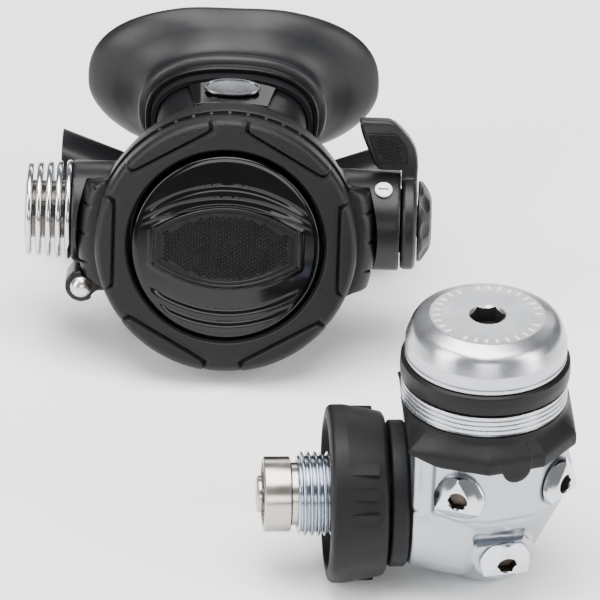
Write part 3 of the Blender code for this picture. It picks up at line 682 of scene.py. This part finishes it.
def makeConnector():
    neck = lathe([(18.6, 25.2, 0.4), (19.9, 24.8, 0.8), (19.9, 20.9, 0.9), (19.0, 20.2, 0.2), (9.1, 20.2),
                  (9.1, 25.2)])
    addPiece("neckRing", neck, "blackRubber", "first_stage", ["neck_ring"], connectorFrame)
    wheel = lathe([(21.4, 41.6, 0.6), (24.15, 41.0, 2.2), (24.15, 36.8, 4), (22.2, 26.6, 1.2), (21.0, 25.9, 0.2),
                   (14.4, 25.9), (14.4, 38.9, 0.3), (19.9, 38.9, 0.8), (20.6, 41.6, 0.5)], steps=192)
    rib = block((21.5, -1.7, 28.6), (24.35, 1.7, 38.4))
    # the rib's top follows the wheel's taper
    for vert in rib.verts:
        if vert.co.x > 24:
            vert.co.x = 23.95 if vert.co.z < 30 else 24.14
    bmesh.ops.bevel(rib, geom=rib.edges[:], offset=0.25, segments=2, affect="EDGES")
    ribPitch, firstRib = 16.5, -59
    three = repeated("wheelRibRow", rib, "circle", "blackRubber", {"Count": 3, "Pitch": math.radians(ribPitch)})
    bmesh.ops.rotate(three, verts=three.verts, matrix=Matrix.Rotation(math.radians(firstRib - ribPitch), 3, "Z"))
    ribs = repeated("wheelRibs", three, "circle", "blackRubber", {"Count": 3, "Pitch": math.radians(120)})
    addPiece("handWheel", wheel, "blackRubber", "din_wheel", ["din_handwheel"], connectorFrame)
    addPiece("wheelRibs", ribs, "blackRubber", "din_wheel", place=connectorFrame)
    thread = {"crest": 11.45, "root": 10.3, "pitch": 1.814, "low": 38.9, "high": 49.5, "rows": 96, "steps": 144,
              "sleeve": ((8.95, 49.5), (8.95, 26.3), (13.9, 26.3), (13.9, 38.6))}
    rings = []
    for row in range(thread["rows"] + 1):
        z = thread["low"] + (thread["high"] - thread["low"]) * row / thread["rows"]
        ring = []
        for i in range(thread["steps"]):
            phase = (z / thread["pitch"] - i / thread["steps"]) % 1
            ridge = smoothStep(0.06, 0.46, abs(phase - 0.5))
            radius = thread["crest"] - (thread["crest"] - thread["root"]) * ridge
            radius = min(radius, 10.25 + (thread["high"] - z) * 1.1)
            ring.append(polar(radius, 2 * math.pi * i / thread["steps"], z))
        rings.append(ring)
    rings += [circleRing(radius, z, thread["steps"]) for radius, z in thread["sleeve"]]
    addPiece("connectorThread", skin(rings, looped=True), "zincThread", "din_wheel", ["din_screw"],
             connectorFrame, sharp=60)
    stem = lathe([(5.9, 57.8, 0.2), (5.9, 51.0), (8.55, 51.0, 0.1), (8.55, 10.6), (4.4, 10.6), (4.4, 57.8)])
    addPiece("connectorStem", stem, "warmSteel", "first_stage", ["din_stem"], connectorFrame)
    addPiece("closureSleeve", lathe([
        (8.7, 58.6), (9.85, 58.6, 0.1), (10.2, 58.25, 0.1), (10.2, 51.5, 0.15), (9.9, 51.3), (8.9, 51.3), (8.9, 53.6),
        (6.2, 53.6), (6.2, 58.6), (6.4, 58.6), (6.4, 57.2), (8.7, 57.2)]), "warmSteel", "closure_sleeve",
        ["acd_sleeve"], connectorFrame)
    seal = [(7.55 + 0.85 * math.cos(math.radians(a)), 58.15 + 0.62 * math.sin(math.radians(a)))
            for a in range(0, -360, -20)]
    addPiece("noseSeal", lathe(seal), "bandRubber", "closure_sleeve", ["nose_o_ring"],
             connectorFrame)
    addPiece("closurePin", lathe([
        (0, 60.0), (2.2, 60.0, 0.2), (2.6, 60.3), (4.6, 60.3, 0.2), (5.0, 59.9, 0.1), (5.0, 58.95, 0.1), (2.1, 58.95),
        (2.1, 47), (0, 47)], closed=False), "warmSteel", "first_stage", ["closure_pin"], connectorFrame)


makeBody()
makePlugs()
makeCapGroup()
makeGuard()
makeConnector()
print("first stage made")


padShape = {"chord": 31.6, "spread": 0.4, "groove": 0.85, "rise": 0.75, "width": 0.27, "corner": 1.6}
cover = {"inner": 27.6, "band": 9.3, "crowd": 0.9, "rollFrom": 34.6, "rollWidth": 2.3, "drop": 2.6}


def coverHeight(radius, turn):
    # y of the cover's front: six cushions outside a twelve-sided flat, with a groove round each
    base = -0.9 + 1.1 * smoothStep(cover["inner"] + 1.0, cover["inner"], radius)
    roll = max(0.0, (radius - cover["rollFrom"]) / cover["rollWidth"])
    base += cover["drop"] * (1 - math.sqrt(max(0.0, 1 - min(1.0, roll) ** 2)))
    step = math.radians(60)
    local = (turn + step / 2) % step - step / 2
    along, across = radius * math.cos(local), radius * math.sin(local)
    end = (padShape["spread"] * along - abs(across)) * 0.92
    chord, corner = along - padShape["chord"], padShape["corner"]
    away = min(chord, end)
    if away >= 0 and max(chord, end) <= corner:
        away = corner - math.hypot(max(0, corner - chord), max(0, corner - end))
    base -= padShape["rise"] * smoothStep(0.15, 0.8, away) - 0.22 * smoothStep(0.8, 0.2, abs(away + 0.75))
    return base + padShape["groove"] * math.exp(-(away / padShape["width"]) ** 2)


def makeCover():
    steps, rows = 1080, 56
    inner, band, crowd = cover["inner"], cover["band"], cover["crowd"]
    radii = [inner + band * k / rows for k in range(rows + 1)]
    radii = [inner + (r - inner) ** crowd * band ** (1 - crowd) for r in radii]
    rings = []
    for turn in circleTurns(steps):
        line = [(r, coverHeight(r, turn)) for r in radii]
        rings.append(spun(line + [(36.9, 4.2), (36.9, 5.6), (36.4, 6.1), (inner, 6.1), (inner, 3.0)], turn))
    addPiece("frontCover", skin(rings, looped=True), "grainPlastic", "second_stage", ["front_cover"],
             faceFrame, sharp=60)


def earReach(degrees):
    # how far the grip ears stand out of the ring, with four scallops on each
    right = smoothStep(26, 19, abs(degrees))
    left = smoothStep(154, 161, degrees) if degrees > 0 else smoothStep(11.5, 18.5, abs(degrees) - 143)
    ear = max(right, left)
    center = 0 if right > left else 180
    place = ((degrees - center + 180) % 360 - 180 + 24.0) / 12.0
    notch = min(abs(place - round(place)), 0.5) * 12.0
    dent = math.exp(-(notch / 0.5) ** 2) * ear
    return 4.7 * ear - dent + 0.25 * ear * math.sin(math.pi * (place % 1))


def makeRing():
    rings = []
    for turn in circleTurns(1440):
        degrees = (math.degrees(turn) + 180) % 360 - 180
        reach = earReach(degrees)
        out = 37.4 + reach
        tick = 0.35 * smoothStep(0.9, 0.5, abs((degrees - 90) / 8.0 - round((degrees - 90) / 8.0)) * 8.0)
        tick *= smoothStep(40, 34, abs(degrees - 90))
        fall = min(3.4, reach * 0.72)
        line = [(34.9, 6.5), (36.8, 6.5), (37.05, 6.7 + 0.5 - tick), (37.4 + reach * 0.25, 7.0 + fall * 0.12),
                (37.4 + reach * 0.6, 7.1 + fall * 0.34), (out - 0.5, 7.3 + fall * 0.8), (out - 0.1, 8.1 + fall),
                (out, 9.0 + fall * 0.8), (out, 12.3), (out - 0.25, 13.1), (out - 0.9, 13.6), (34.9, 13.6)]
        rings.append(spun(line, turn))
    ring = addPiece("gripRing", skin(rings, looped=True), "ringPlastic", None, place=faceFrame, sharp=42)
    mark = scratchPiece(block((-0.25, -2, -1.3), (0.25, 3, 1.3)), faceFrame @ Matrix.Translation(
        (-37.9, 6.0, 14.2)) @ turnAbout("Y", -28))
    applyBoolean(ring, [mark], "DIFFERENCE")
    rideAlong(ring, "second_stage", ["retaining_ring"])


def lensEdge(grow=0.0, cut=1.8, half=21.7, rise=11.6, count=64):
    # outline of the lens badge: two arcs and two clipped ends
    points = []
    for sign in (1, -1):
        for i in range(count + 1):
            x = (half + grow - cut) * (1 - 2 * i / count) * sign
            points.append((x, sign * (rise + grow - 7.6 * (x / (half + grow)) ** 2)))
    return points


def buttonHeight(x, z):
    # height of the glossy face: three crescent terraces above the badge and two shallow grooves below it
    radius = math.hypot(x, z)
    top = 1.6 - 0.25 * (radius / 26.4) ** 2
    for index, (peak, curve) in enumerate(((18.3, 0.0155), (14.6, 0.0125), (11.2, 0.0095))):
        edge = peak - curve * x * x
        fade = smoothStep(24.5, 15.0, abs(x)) * (1 if z > 0 else 0)
        top -= 0.34 * smoothStep(edge - 1.9, edge - 0.15, z) * fade
        top += 0.34 * smoothStep(edge - 0.15, edge + 0.1, z) * fade
    for low, half, curve in ((-18.1, 21.5, 0.0148), (-21.6, 19.5, 0.0152)):
        edge = low + curve * x * x
        fade = smoothStep(half, half - 5.0, abs(x))
        away = z - edge
        top -= 0.42 * fade * (smoothStep(-1.9, 0.0, away) if away < 0 else math.exp(-(away / 0.22) ** 2))
    pocket = 11.9 - 7.6 * (x / 22.0) ** 2
    frameEdge = max(abs(z) - pocket, abs(x) - 20.5)
    top += 0.12 * smoothStep(1.5, 0.9, frameEdge) * smoothStep(-0.4, 0.1, frameEdge)
    return top


def makeButton():
    rows, steps, face = 110, 360, 25.0
    bm = bmesh.new()

    def ring(radius, height=None):
        return [bm.verts.new((x, y, buttonHeight(x, y) if height is None else height))
                for x, y, _ in circleRing(radius, 0, steps)]
    center = bm.verts.new((0, 0, buttonHeight(0, 0)))
    grid = [ring(face * k / rows) for k in range(1, rows + 1)]
    edge = buttonHeight(0, -face)
    outline = rounded([(face, edge), (26.4, edge - 0.2, 1.0), (26.4, -6.8, 0.3), (28.8, -6.8), (28.8, -7.8),
                       (24.6, -7.8), (24.6, -1.2), (6.0, -1.2), (5.0, -11.5), (0.01, -11.5)])[1:]
    grid += [ring(radius, height) for radius, height in outline]
    for i in range(steps):
        bm.faces.new((center, grid[0][i], grid[0][(i + 1) % steps]))
    for near, far in zip(grid, grid[1:]):
        for i in range(steps):
            bm.faces.new((near[i], far[i], far[(i + 1) % steps], near[(i + 1) % steps]))
    bm.faces.new(grid[-1])
    button = addPiece("purgeButton", bm, "gloss", None, place=buttonFrame, sharp=50)
    applyBoolean(button, [scratchPiece(prism(lensEdge(0.3), 0.7, 4), buttonFrame)], "DIFFERENCE")
    crease(button, 50)
    rideAlong(button, "purge", ["purge_button"])


def makeBadge():
    # a knurled field inside a raised double border, with nothing written on it
    parts = [(prism(lensEdge(), 1.0, 1.45), None)]
    for outer, inner, high in ((0.0, -0.75, 1.95), (-1.25, -1.75, 1.8)):
        section = ((outer, 1.4), (outer, high - 0.15), (outer - 0.12, high), (inner + 0.12, high),
                   (inner, high - 0.15), (inner, 1.4))
        rings = [[(x, y, z) for x, y in lensEdge(grow)] for grow, z in section]
        parts.append((skin(rings, looped=True), None))
    addPiece("purgeBadge", merged(parts), "badgeBlack", "purge", ["purge_badge"], buttonFrame,
             sharp=30)
    knurl = {"Count": 25, "Rows": 19, "Pitch": 24 * 1.72, "Row Pitch": 18 * 1.16}
    stud = knurlStud((0.8, 0.53), 1.42, (0.2, 0.13), 1.78)
    fields = []
    for index, shift in enumerate(((0, 0), (0.86, 0.58))):
        field = repeated("badgeKnurl" + str(index), stud.copy(), "grid", "badgeBlack", knurl)
        fields.append((field, Matrix.Translation((*shift, 0))))
    stud.free()
    whole = merged(fields)
    outside = [vert for vert in whole.verts
               if abs(vert.co.x) > 18.2 or abs(vert.co.y) > 9.6 - 7.4 * (vert.co.x / 20.0) ** 2]
    bmesh.ops.delete(whole, geom=outside, context="VERTS")
    loose = [vert for vert in whole.verts if len(vert.link_faces) < 3]
    bmesh.ops.delete(whole, geom=loose, context="VERTS")
    bmesh.ops.holes_fill(whole, edges=[e for e in whole.edges if e.is_boundary], sides=8)
    addPiece("badgeKnurl", whole, "badgeBlack", "purge", place=buttonFrame, sharp=20)


def makeExchanger():
    fin = lathe([(8.1, -0.3), (13.1, -0.3, 0.85), (13.1, 1.4, 0.85), (8.1, 1.4)])
    fins = repeated("exchangerFins", fin, "line", "brightChrome", {"Count": 5, "Pitch": 2.75, "Grow": 0.019})
    bmesh.ops.translate(fins, verts=fins.verts, vec=(0, 0, -56.4))
    addPiece("exchangerFins", fins, "brightChrome", "second_stage", place=barrelFrame)
    tube = [(8.7, -57.1, 0.3), (8.2, -56.4), (8.2, -44.0), (7.9, -43.6), (7.9, -35.5), (4.55, -35.5), (4.55, -42),
            (7.15, -44.5), (7.15, -56.7), (7.5, -57.1)]
    addPiece("exchangerCore", lathe(tube), "coreBrass", "second_stage", ["heat_exchanger"],
             barrelFrame)


lockPinPlace = Matrix.Translation((-40.6, 0, -15.9))


def makeCase():
    tubeRings = [[(x, s, z) for x, z in oval(21.5 + grow, 14.5 + grow)]
                 for s, grow in ((24, 7), (30, 6), (35, 4.6), (40, 2.8), (45, 1.2), (50, 0.2), (54, 0), (66.9, 0))]
    shift = faceFrame.inverted() @ aimFrame
    upBarrel = Matrix.Translation((0, barrel["back"], barrel["up"])) @ turnAbout("Y", 90)
    neck = Matrix.Translation((0, 0, -30.47)) @ Matrix.Rotation(-tilt - math.radians(90), 4, "X")
    parts = [
        (lathe([(0, -13.9), (36.2, -13.9, 0.4), (36.5, -15.5, 1), (36.3, -20.0, 4), (34.6, -28.0, 6), (30, -36, 6),
                (20, -40, 6), (0, -40)], closed=False), upright),
        (cylinder(14.2, -43.9, 48.7), upBarrel),
        (skin(tubeRings), shift),
        (cylinder(8.6, 24, 52.0), neck),
        (cylinder(4.6, -22, -9.5), lockPinPlace @ upright),
        (block((-41.5, 14.2, -18.5), (-30.0, 20.0, -13.5)), None)]
    # shoulders that blend the barrel into the tube's root
    for side in (1, -1):
        rings = []
        for t in range(7):
            k = t / 6
            x = side * (16 + 24 * k)
            half = 17 - 5.2 * k
            deep, high = half + 3 * (1 - k), 4.6 - 1.6 * k
            rings.append([(x, barrel["back"] + math.cos(turn) * deep, high + math.sin(turn) * half)
                          for turn in circleTurns(48)])
        parts.append((skin(rings), None))
    case = addPiece("regulatorCase", merged(parts), "satinPlastic", None, place=faceFrame, keepSide=True)
    soften(case, 0.62, 4)
    cavity = lathe([(0, -3), (42.5, -3), (42.5, -13.9), (31.2, -13.9), (31.2, -15.5), (33.4, -17.2), (32.8, -23),
                    (30, -30), (24, -35.2), (18, -37.3), (0, -37.3)], steps=96, closed=False)
    throat = skin([[(x, s, z) for x, z in oval(19.5, 12.5)] for s in (30, 72)])
    bore = lathe([(0, -60), (8.35, -60), (8.35, -43.7), (8.0, -43.5), (8.0, 43.2), (9.2, 43.3), (9.2, 60), (0, 60)],
                 closed=False)
    cuts = [(cavity, buttonFrame), (throat, aimFrame), (bore, barrelFrame),
            (cylinder(6.8, 28, 64), faceFrame @ neck),
            (cylinder(2.4, 5, 19), faceFrame @ lockPinPlace @ turnAbout("X", -90)),
            (windowShell(0.7, -0.05, 0.35), aimFrame)]
    # hollows beside the window
    for side in (1, -1):
        ball = bmesh.new()
        place = Matrix.Translation((side * 17.6, 55.8, 11.3)) @ turnAbout("Y", 38 * side)
        bmesh.ops.create_uvsphere(ball, u_segments=48, v_segments=24, radius=1.0,
                                  matrix=place @ Matrix.Diagonal((1.5, 3.4, 0.9, 1)))
        cuts.append((ball, aimFrame))
    applyBoolean(case, [scratchPiece(cut, place) for cut, place in cuts], "DIFFERENCE")
    crease(case, 40)
    rideAlong(case, "second_stage", ["case"])
    pin = lathe([(0, -7.25), (1.4, -7.5), (2.5, -8.1), (3.1, -9.0, 0.3), (2.9, -9.2), (2.1, -9.2), (2.1, -17),
                 (0, -17)], steps=64, closed=False)
    addPiece("lockPin", pin, "pinSteel", "second_stage", ["ring_lock_pin"],
             faceFrame @ lockPinPlace @ upright)


def tubeTop(x, a=21.5, b=14.5):
    return b * (1 - min(0.999, abs(x / a)) ** 2.4) ** (1 / 2.4)


def windowShell(low, inset, grow=0.0):
    # a curved trapezoid plate that follows the tube's top
    rings = []
    count = 32
    for s, half in ((49.0 - grow, 10.4 + grow), (50.5, 10.7 + grow), (54, 11.4 + grow), (58.6, 12.3 + grow),
                    (60.1 + grow, 12.7 + grow)):
        half -= inset
        steps = [-1 + 2 * i / count for i in range(count + 1)]
        top = [(half * t, s, tubeTop(half * t) + 1.2) for t in steps]
        bottom = [(half * t, s, tubeTop(half * t) - low + 0.3) for t in reversed(steps)]
        rings.append(top + bottom)
    return skin(rings)


def makeTubeTrim():
    window = addPiece("topWindow", windowShell(-0.05, 0.0), "gloss", None, place=aimFrame, sharp=30)
    bevelEdges(window, 0.25, 40)
    rideAlong(window, "second_stage", ["top_window"])
    emblem = {"at": 55.6, "base": 16.05}
    profile = ((8.1, 4.2, 0.0), (8.1, 4.2, 0.45), (7.95, 4.05, 0.66), (7.5, 3.65, 0.66), (7.35, 3.5, 0.35),
               (5.0, 2.3, 0.4), (2.5, 1.1, 0.42))
    rings = [[(a * math.cos(turn), emblem["at"] + b * math.sin(turn), emblem["base"] + h)
              for turn in circleTurns(96)] for a, b, h in profile]
    addPiece("topEmblem", skin(rings), "smokedChrome", "second_stage", ["top_emblem"], aimFrame,
             sharp=32)
    rings = [[(x, s, z) for x, z in oval(24.9 + grow, 17.9 + grow)] for s, grow in (
        (63.0, -0.15), (63.2, 0), (65.4, 0), (65.6, -0.15), (65.6, -0.9), (63.0, -0.9))]
    addPiece("mouthClamp", skin(rings, looped=True), "ringPlastic", "second_stage", ["mouthpiece_clamp"],
             aimFrame)


def makeMouthpiece():
    # (along, half width, half height, wave, power): the wave dips the lip shield's edge at its middle and
    # waists its sides, and the power squares the oval
    sections = [
        (60.5, 23.2, 16.2), (62.6, 23.2, 16.2), (66.2, 23.2, 16.2), (66.6, 25.2, 17.6), (67.4, 26.8, 18.5),
        (68.6, 27.2, 18.8), (70.0, 26.9, 18.5), (70.9, 25.7, 17.6), (71.6, 25.4, 17.4), (73.2, 26.8, 18.2, 0.1),
        (75.5, 29.4, 19.5, 0.3), (77.6, 33.6, 21.7, 0.5), (79.5, 37.2, 23.4, 0.8), (81.3, 39.9, 24.6, 1.0),
        (82.8, 41.7, 25.3, 1.0), (83.6, 42.1, 25.5, 1.0), (84.0, 42.0, 25.4, 1.0), (84.1, 41.4, 24.9, 1.0),
        (83.6, 39.0, 23.0, 0.8), (83.0, 33.0, 18.6, 0.4), (82.6, 28.0, 15.5, 0.1, 2.3),
        (83.0, 24.0, 13.0, 0, 2.3), (84.5, 20.9, 11.2), (88.0, 20.0, 10.0), (93.0, 19.7, 9.2),
        (97.3, 19.5, 8.8), (98.2, 19.0, 8.4), (98.4, 18.4, 7.8), (98.2, 17.2, 6.4), (97.5, 16.4, 5.4),
        (84.0, 17.0, 8.0), (74.0, 19.0, 12.0), (68.0, 19.4, 12.4), (67.4, 21.9, 14.9), (60.5, 21.9, 14.9)]
    rings = []
    plain = (0, 2.4)
    for section in sections:
        s, a, b, wave, power = section + plain[len(section) - 3:]
        ring = []
        for x, z in oval(a, b, power, 192):
            side = abs(x / a)
            dip = wave * (0.9 * math.exp(-(x / 12.0) ** 2) - 0.2) * (1 if z > 0 else 0.4)
            flare = wave * 1.3 * smoothStep(0.35, 0.95, side)
            shift = wave * 1.1 * math.cos(2.2 * math.pi * side) * 0.6
            narrow = 1 - 0.07 * wave * smoothStep(-0.05, -0.95, z / b)
            ring.append((x * narrow, s - flare * 0.3 + shift * 0.3, z - math.copysign(max(0.0, dip), z)))
        rings.append(ring)
    piece = addPiece("mouthpieceRubber", skin(rings, looped=True), "mouthRubber", None, place=aimFrame, sharp=70)
    rideAlong(piece, "second_stage", ["mouthpiece"])


def makeTee():
    # closed shell: outer skin out to each wing, round the lip and back through the inside
    reach = 48.5

    def section(x, grow):
        out = abs(x) / reach
        back, high = 57 + 5 * out, -29.8 + 14 * out
        wing = oval(10.6 - 1.2 * out + grow, 11.1 + 3.5 * out + grow, 3.2, 120)
        return [(x, back + y, high + z) for y, z in wing]
    places = [-reach + 2 * reach * i / 24 for i in range(25)]
    outer = [section(max(-48.3, min(48.3, x)), 0) for x in places]
    inner = [section(x, -1.8) for x in places[::-1]]
    rings = [section(-reach, -0.3)] + outer + [section(reach, -0.3), section(reach, -1.5)] + inner
    rings.append(section(-reach, -1.5))
    tee = addPiece("exhaustTee", skin(rings, looped=True), "satinPlastic", None, place=levelFrame, sharp=40)
    place = levelFrame @ Matrix.Translation((0, 0, -29.5)) @ turnAbout("X", -90)
    hole = scratchPiece(cylinder(8.95, 40, 54), place)
    applyBoolean(tee, [hole], "DIFFERENCE")
    crease(tee, 40)
    rideAlong(tee, "second_stage", ["exhaust_tee"])


def makeKnob():
    profile = [(0, 57.2), (4.2, 57.2, 0.3), (4.6, 57.7, 0.2), (6.3, 57.7, 0.6), (8.0, 57.1, 1.0), (11.4, 54.9, 1.2),
               (11.4, 53.8, 0.2), (4.5, 53.8), (4.5, 31.2), (0, 31.2)]
    knob = addPiece("flowKnob", lathe(profile, closed=False), "satinPlastic", None, place=barrelFrame)
    cuts = []
    for i in range(8):
        scoop = bmesh.new()
        bmesh.ops.create_uvsphere(scoop, u_segments=64, v_segments=48, radius=9.0)
        place = turnAbout("Z", 45 * i) @ Matrix.Translation((15.0, 0, 62.6))
        cuts.append(scratchPiece(scoop, barrelFrame @ place))
    applyBoolean(knob, cuts, "DIFFERENCE")
    crease(knob, 28)
    rideAlong(knob, "knob", ["adjust_knob"])


def makeLever():
    disc = lathe([(12.6, 53.4), (13.8, 52.6, 0.5), (13.8, 50.0, 0.5), (13.2, 49.1, 0.3), (8.8, 49.1), (8.8, 43.6),
                  (5.0, 43.6), (5.0, 53.4)])
    table = ((10.4, 49.3, 53.0, 7.0), (13.4, 46.0, 53.3, 7.0), (15.6, 42.4, 53.4, 7.0), (17.0, 41.0, 53.4, 7.0),
             (19.5, 39.8, 53.1, 6.8), (22.0, 38.7, 52.4, 6.4), (24.5, 37.6, 50.8, 6.0), (27.0, 36.8, 48.6, 5.6),
             (28.6, 36.5, 46.8, 5.0), (29.5, 36.6, 45.2, 4.0))
    rings = []
    for high, low, top, thick in table:
        half = thick / 2
        outline = rounded([(low, half, 1.4), (top, half, 1.4), (top, -half, 0.9), (low, -half, 0.9)], 6)
        rings.append([(-high, point[1], point[0]) for point in outline])
    lever = addPiece("flowLever", merged([(disc, None), (skin(rings), None)]), "satinPlastic", None,
                     place=barrelFrame, keepSide=True)
    soften(lever, 0.32, 4)
    gapCut = lathe([(16.0, 48.8), (16.0, 30.0), (10.0, 30.0), (10.0, 48.8)])
    applyBoolean(lever, [scratchPiece(gapCut, barrelFrame)], "DIFFERENCE")
    crease(lever, 40)
    rideAlong(lever, "flow_lever", ["venturi_lever"])
    corners = [(-17.6, 42.0, 0.8), (-17.6, 51.0, 1.0), (-22.6, 50.0, 2.0), (-26.0, 47.2, 0.8), (-26.0, 38.8, 0.8)]
    outline = rounded(corners, 6)
    middlePad = sum((Vector(point) for point in outline), Vector((0, 0))) / len(outline)

    def padFace(x, out):
        # the pad lies on the lever's face, which tapers towards its tip
        return -3.45 - out + 0.55 * (-17.6 - x) / 8.4

    def padRing(scale, out):
        ring = []
        for point in outline:
            x, z = middlePad + (Vector(point) - middlePad) * scale
            ring.append((x, padFace(x, out), z))
        return ring
    field = 0.7
    levels = ((1.0, 0.35), (1.0, 0.95), (0.97, 1.1), (0.93, 1.1), (0.91, field), (0.2, field))
    plate = skin([padRing(scale, out) for scale, out in levels])
    addPiece("leverPad", plate, "blackRubber", "flow_lever", ["lever_pad"], barrelFrame, sharp=30)
    stud = knurlStud((0.5, 0.8), -0.1, (0.12, 0.2), 0.36)
    both = []
    for index, shift in enumerate(((0, 0), (0.55, 0.87))):
        studs = repeated("padKnurl" + str(index), stud.copy(), "grid", "blackRubber",
                         {"Count": 14, "Rows": 10, "Pitch": 13 * 1.1, "Row Pitch": 9 * 1.74})
        both.append((studs, Matrix.Translation((*shift, 0))))
    stud.free()
    knurl = merged(both)
    bmesh.ops.rotate(knurl, verts=knurl.verts, matrix=Matrix.Rotation(math.radians(18), 3, "Z"))
    inner = [middlePad + (Vector(point) - middlePad) * 0.84 for point in outline]

    def inside(x, z):
        hit = False
        for a, b in zip(inner, inner[1:] + inner[:1]):
            if (a.y > z) != (b.y > z) and x < (b.x - a.x) * (z - a.y) / (b.y - a.y) + a.x:
                hit = not hit
        return hit
    keep = bmesh.new()
    mesh = bpy.data.meshes.new("knurl")
    knurl.to_mesh(mesh)
    knurl.free()
    for start in range(0, len(mesh.vertices), 8):
        spots = [mesh.vertices[start + i].co for i in range(8)]
        if all(inside(middlePad.x + spot.x, middlePad.y + spot.y) for spot in spots):
            made = []
            for spot in spots:
                x, z = middlePad.x + spot.x, middlePad.y + spot.y
                made.append(keep.verts.new((x, padFace(x, field) - spot.z, z)))
            keep.faces.new(made[:4])
            keep.faces.new(made[4:][::-1])
            for i in range(4):
                keep.faces.new((made[4 + i], made[4 + (i + 1) % 4], made[(i + 1) % 4], made[i]))
    bpy.data.meshes.remove(mesh)
    addPiece("padKnurl", keep, "blackRubber", "flow_lever", place=barrelFrame, sharp=20)


def makeMarker():
    lean, out = 51, 14.5
    turn = math.radians(lean)
    spot = Vector((43.8, barrel["back"] - out * math.cos(turn), barrel["up"] + out * math.sin(turn)))
    place = faceFrame @ Matrix.Translation(spot) @ turnAbout("X", 90 - lean)
    disc = lathe([(0, 0.62), (2.2, 0.62, 0.2), (2.45, 0.5, 0.15), (2.45, 0), (0, 0)], steps=96, closed=False)
    addPiece("markerDisc", disc, "whiteDot", "second_stage", ["marker_disc"], place)
    dash = block((-1.5, -0.24, 0.6), (1.5, 0.24, 0.67))
    addPiece("markerDash", dash, "badgeBlack", "second_stage", place=place)


makeCover()
makeRing()
makeButton()
makeBadge()
print("cover, ring and button made")
makeExchanger()
makeCase()
makeTubeTrim()
makeMouthpiece()
makeTee()
print("case and mouthpiece made")
makeKnob()
makeLever()
makeMarker()
print("second stage made")


# the nodes that stay as they are get the finish of their slot
plainLooks = {"satin_chrome": "satinChrome", "bright_chrome": "brightChrome", "steel": "springSteel",
              "brass": "brass", "black_rubber": "blackRubber", "silicone": "mouthRubber",
              "matt_plastic": "satinPlastic", "gloss_plastic": "gloss", "white_plastic": "whiteDot"}
for entry in frame["record"]["subparts"]:
    node = frame["nodes"][entry["node"]]
    for materialSlot in node.material_slots:
        materialSlot.material = looks[plainLooks[entry["material_slot"]]]
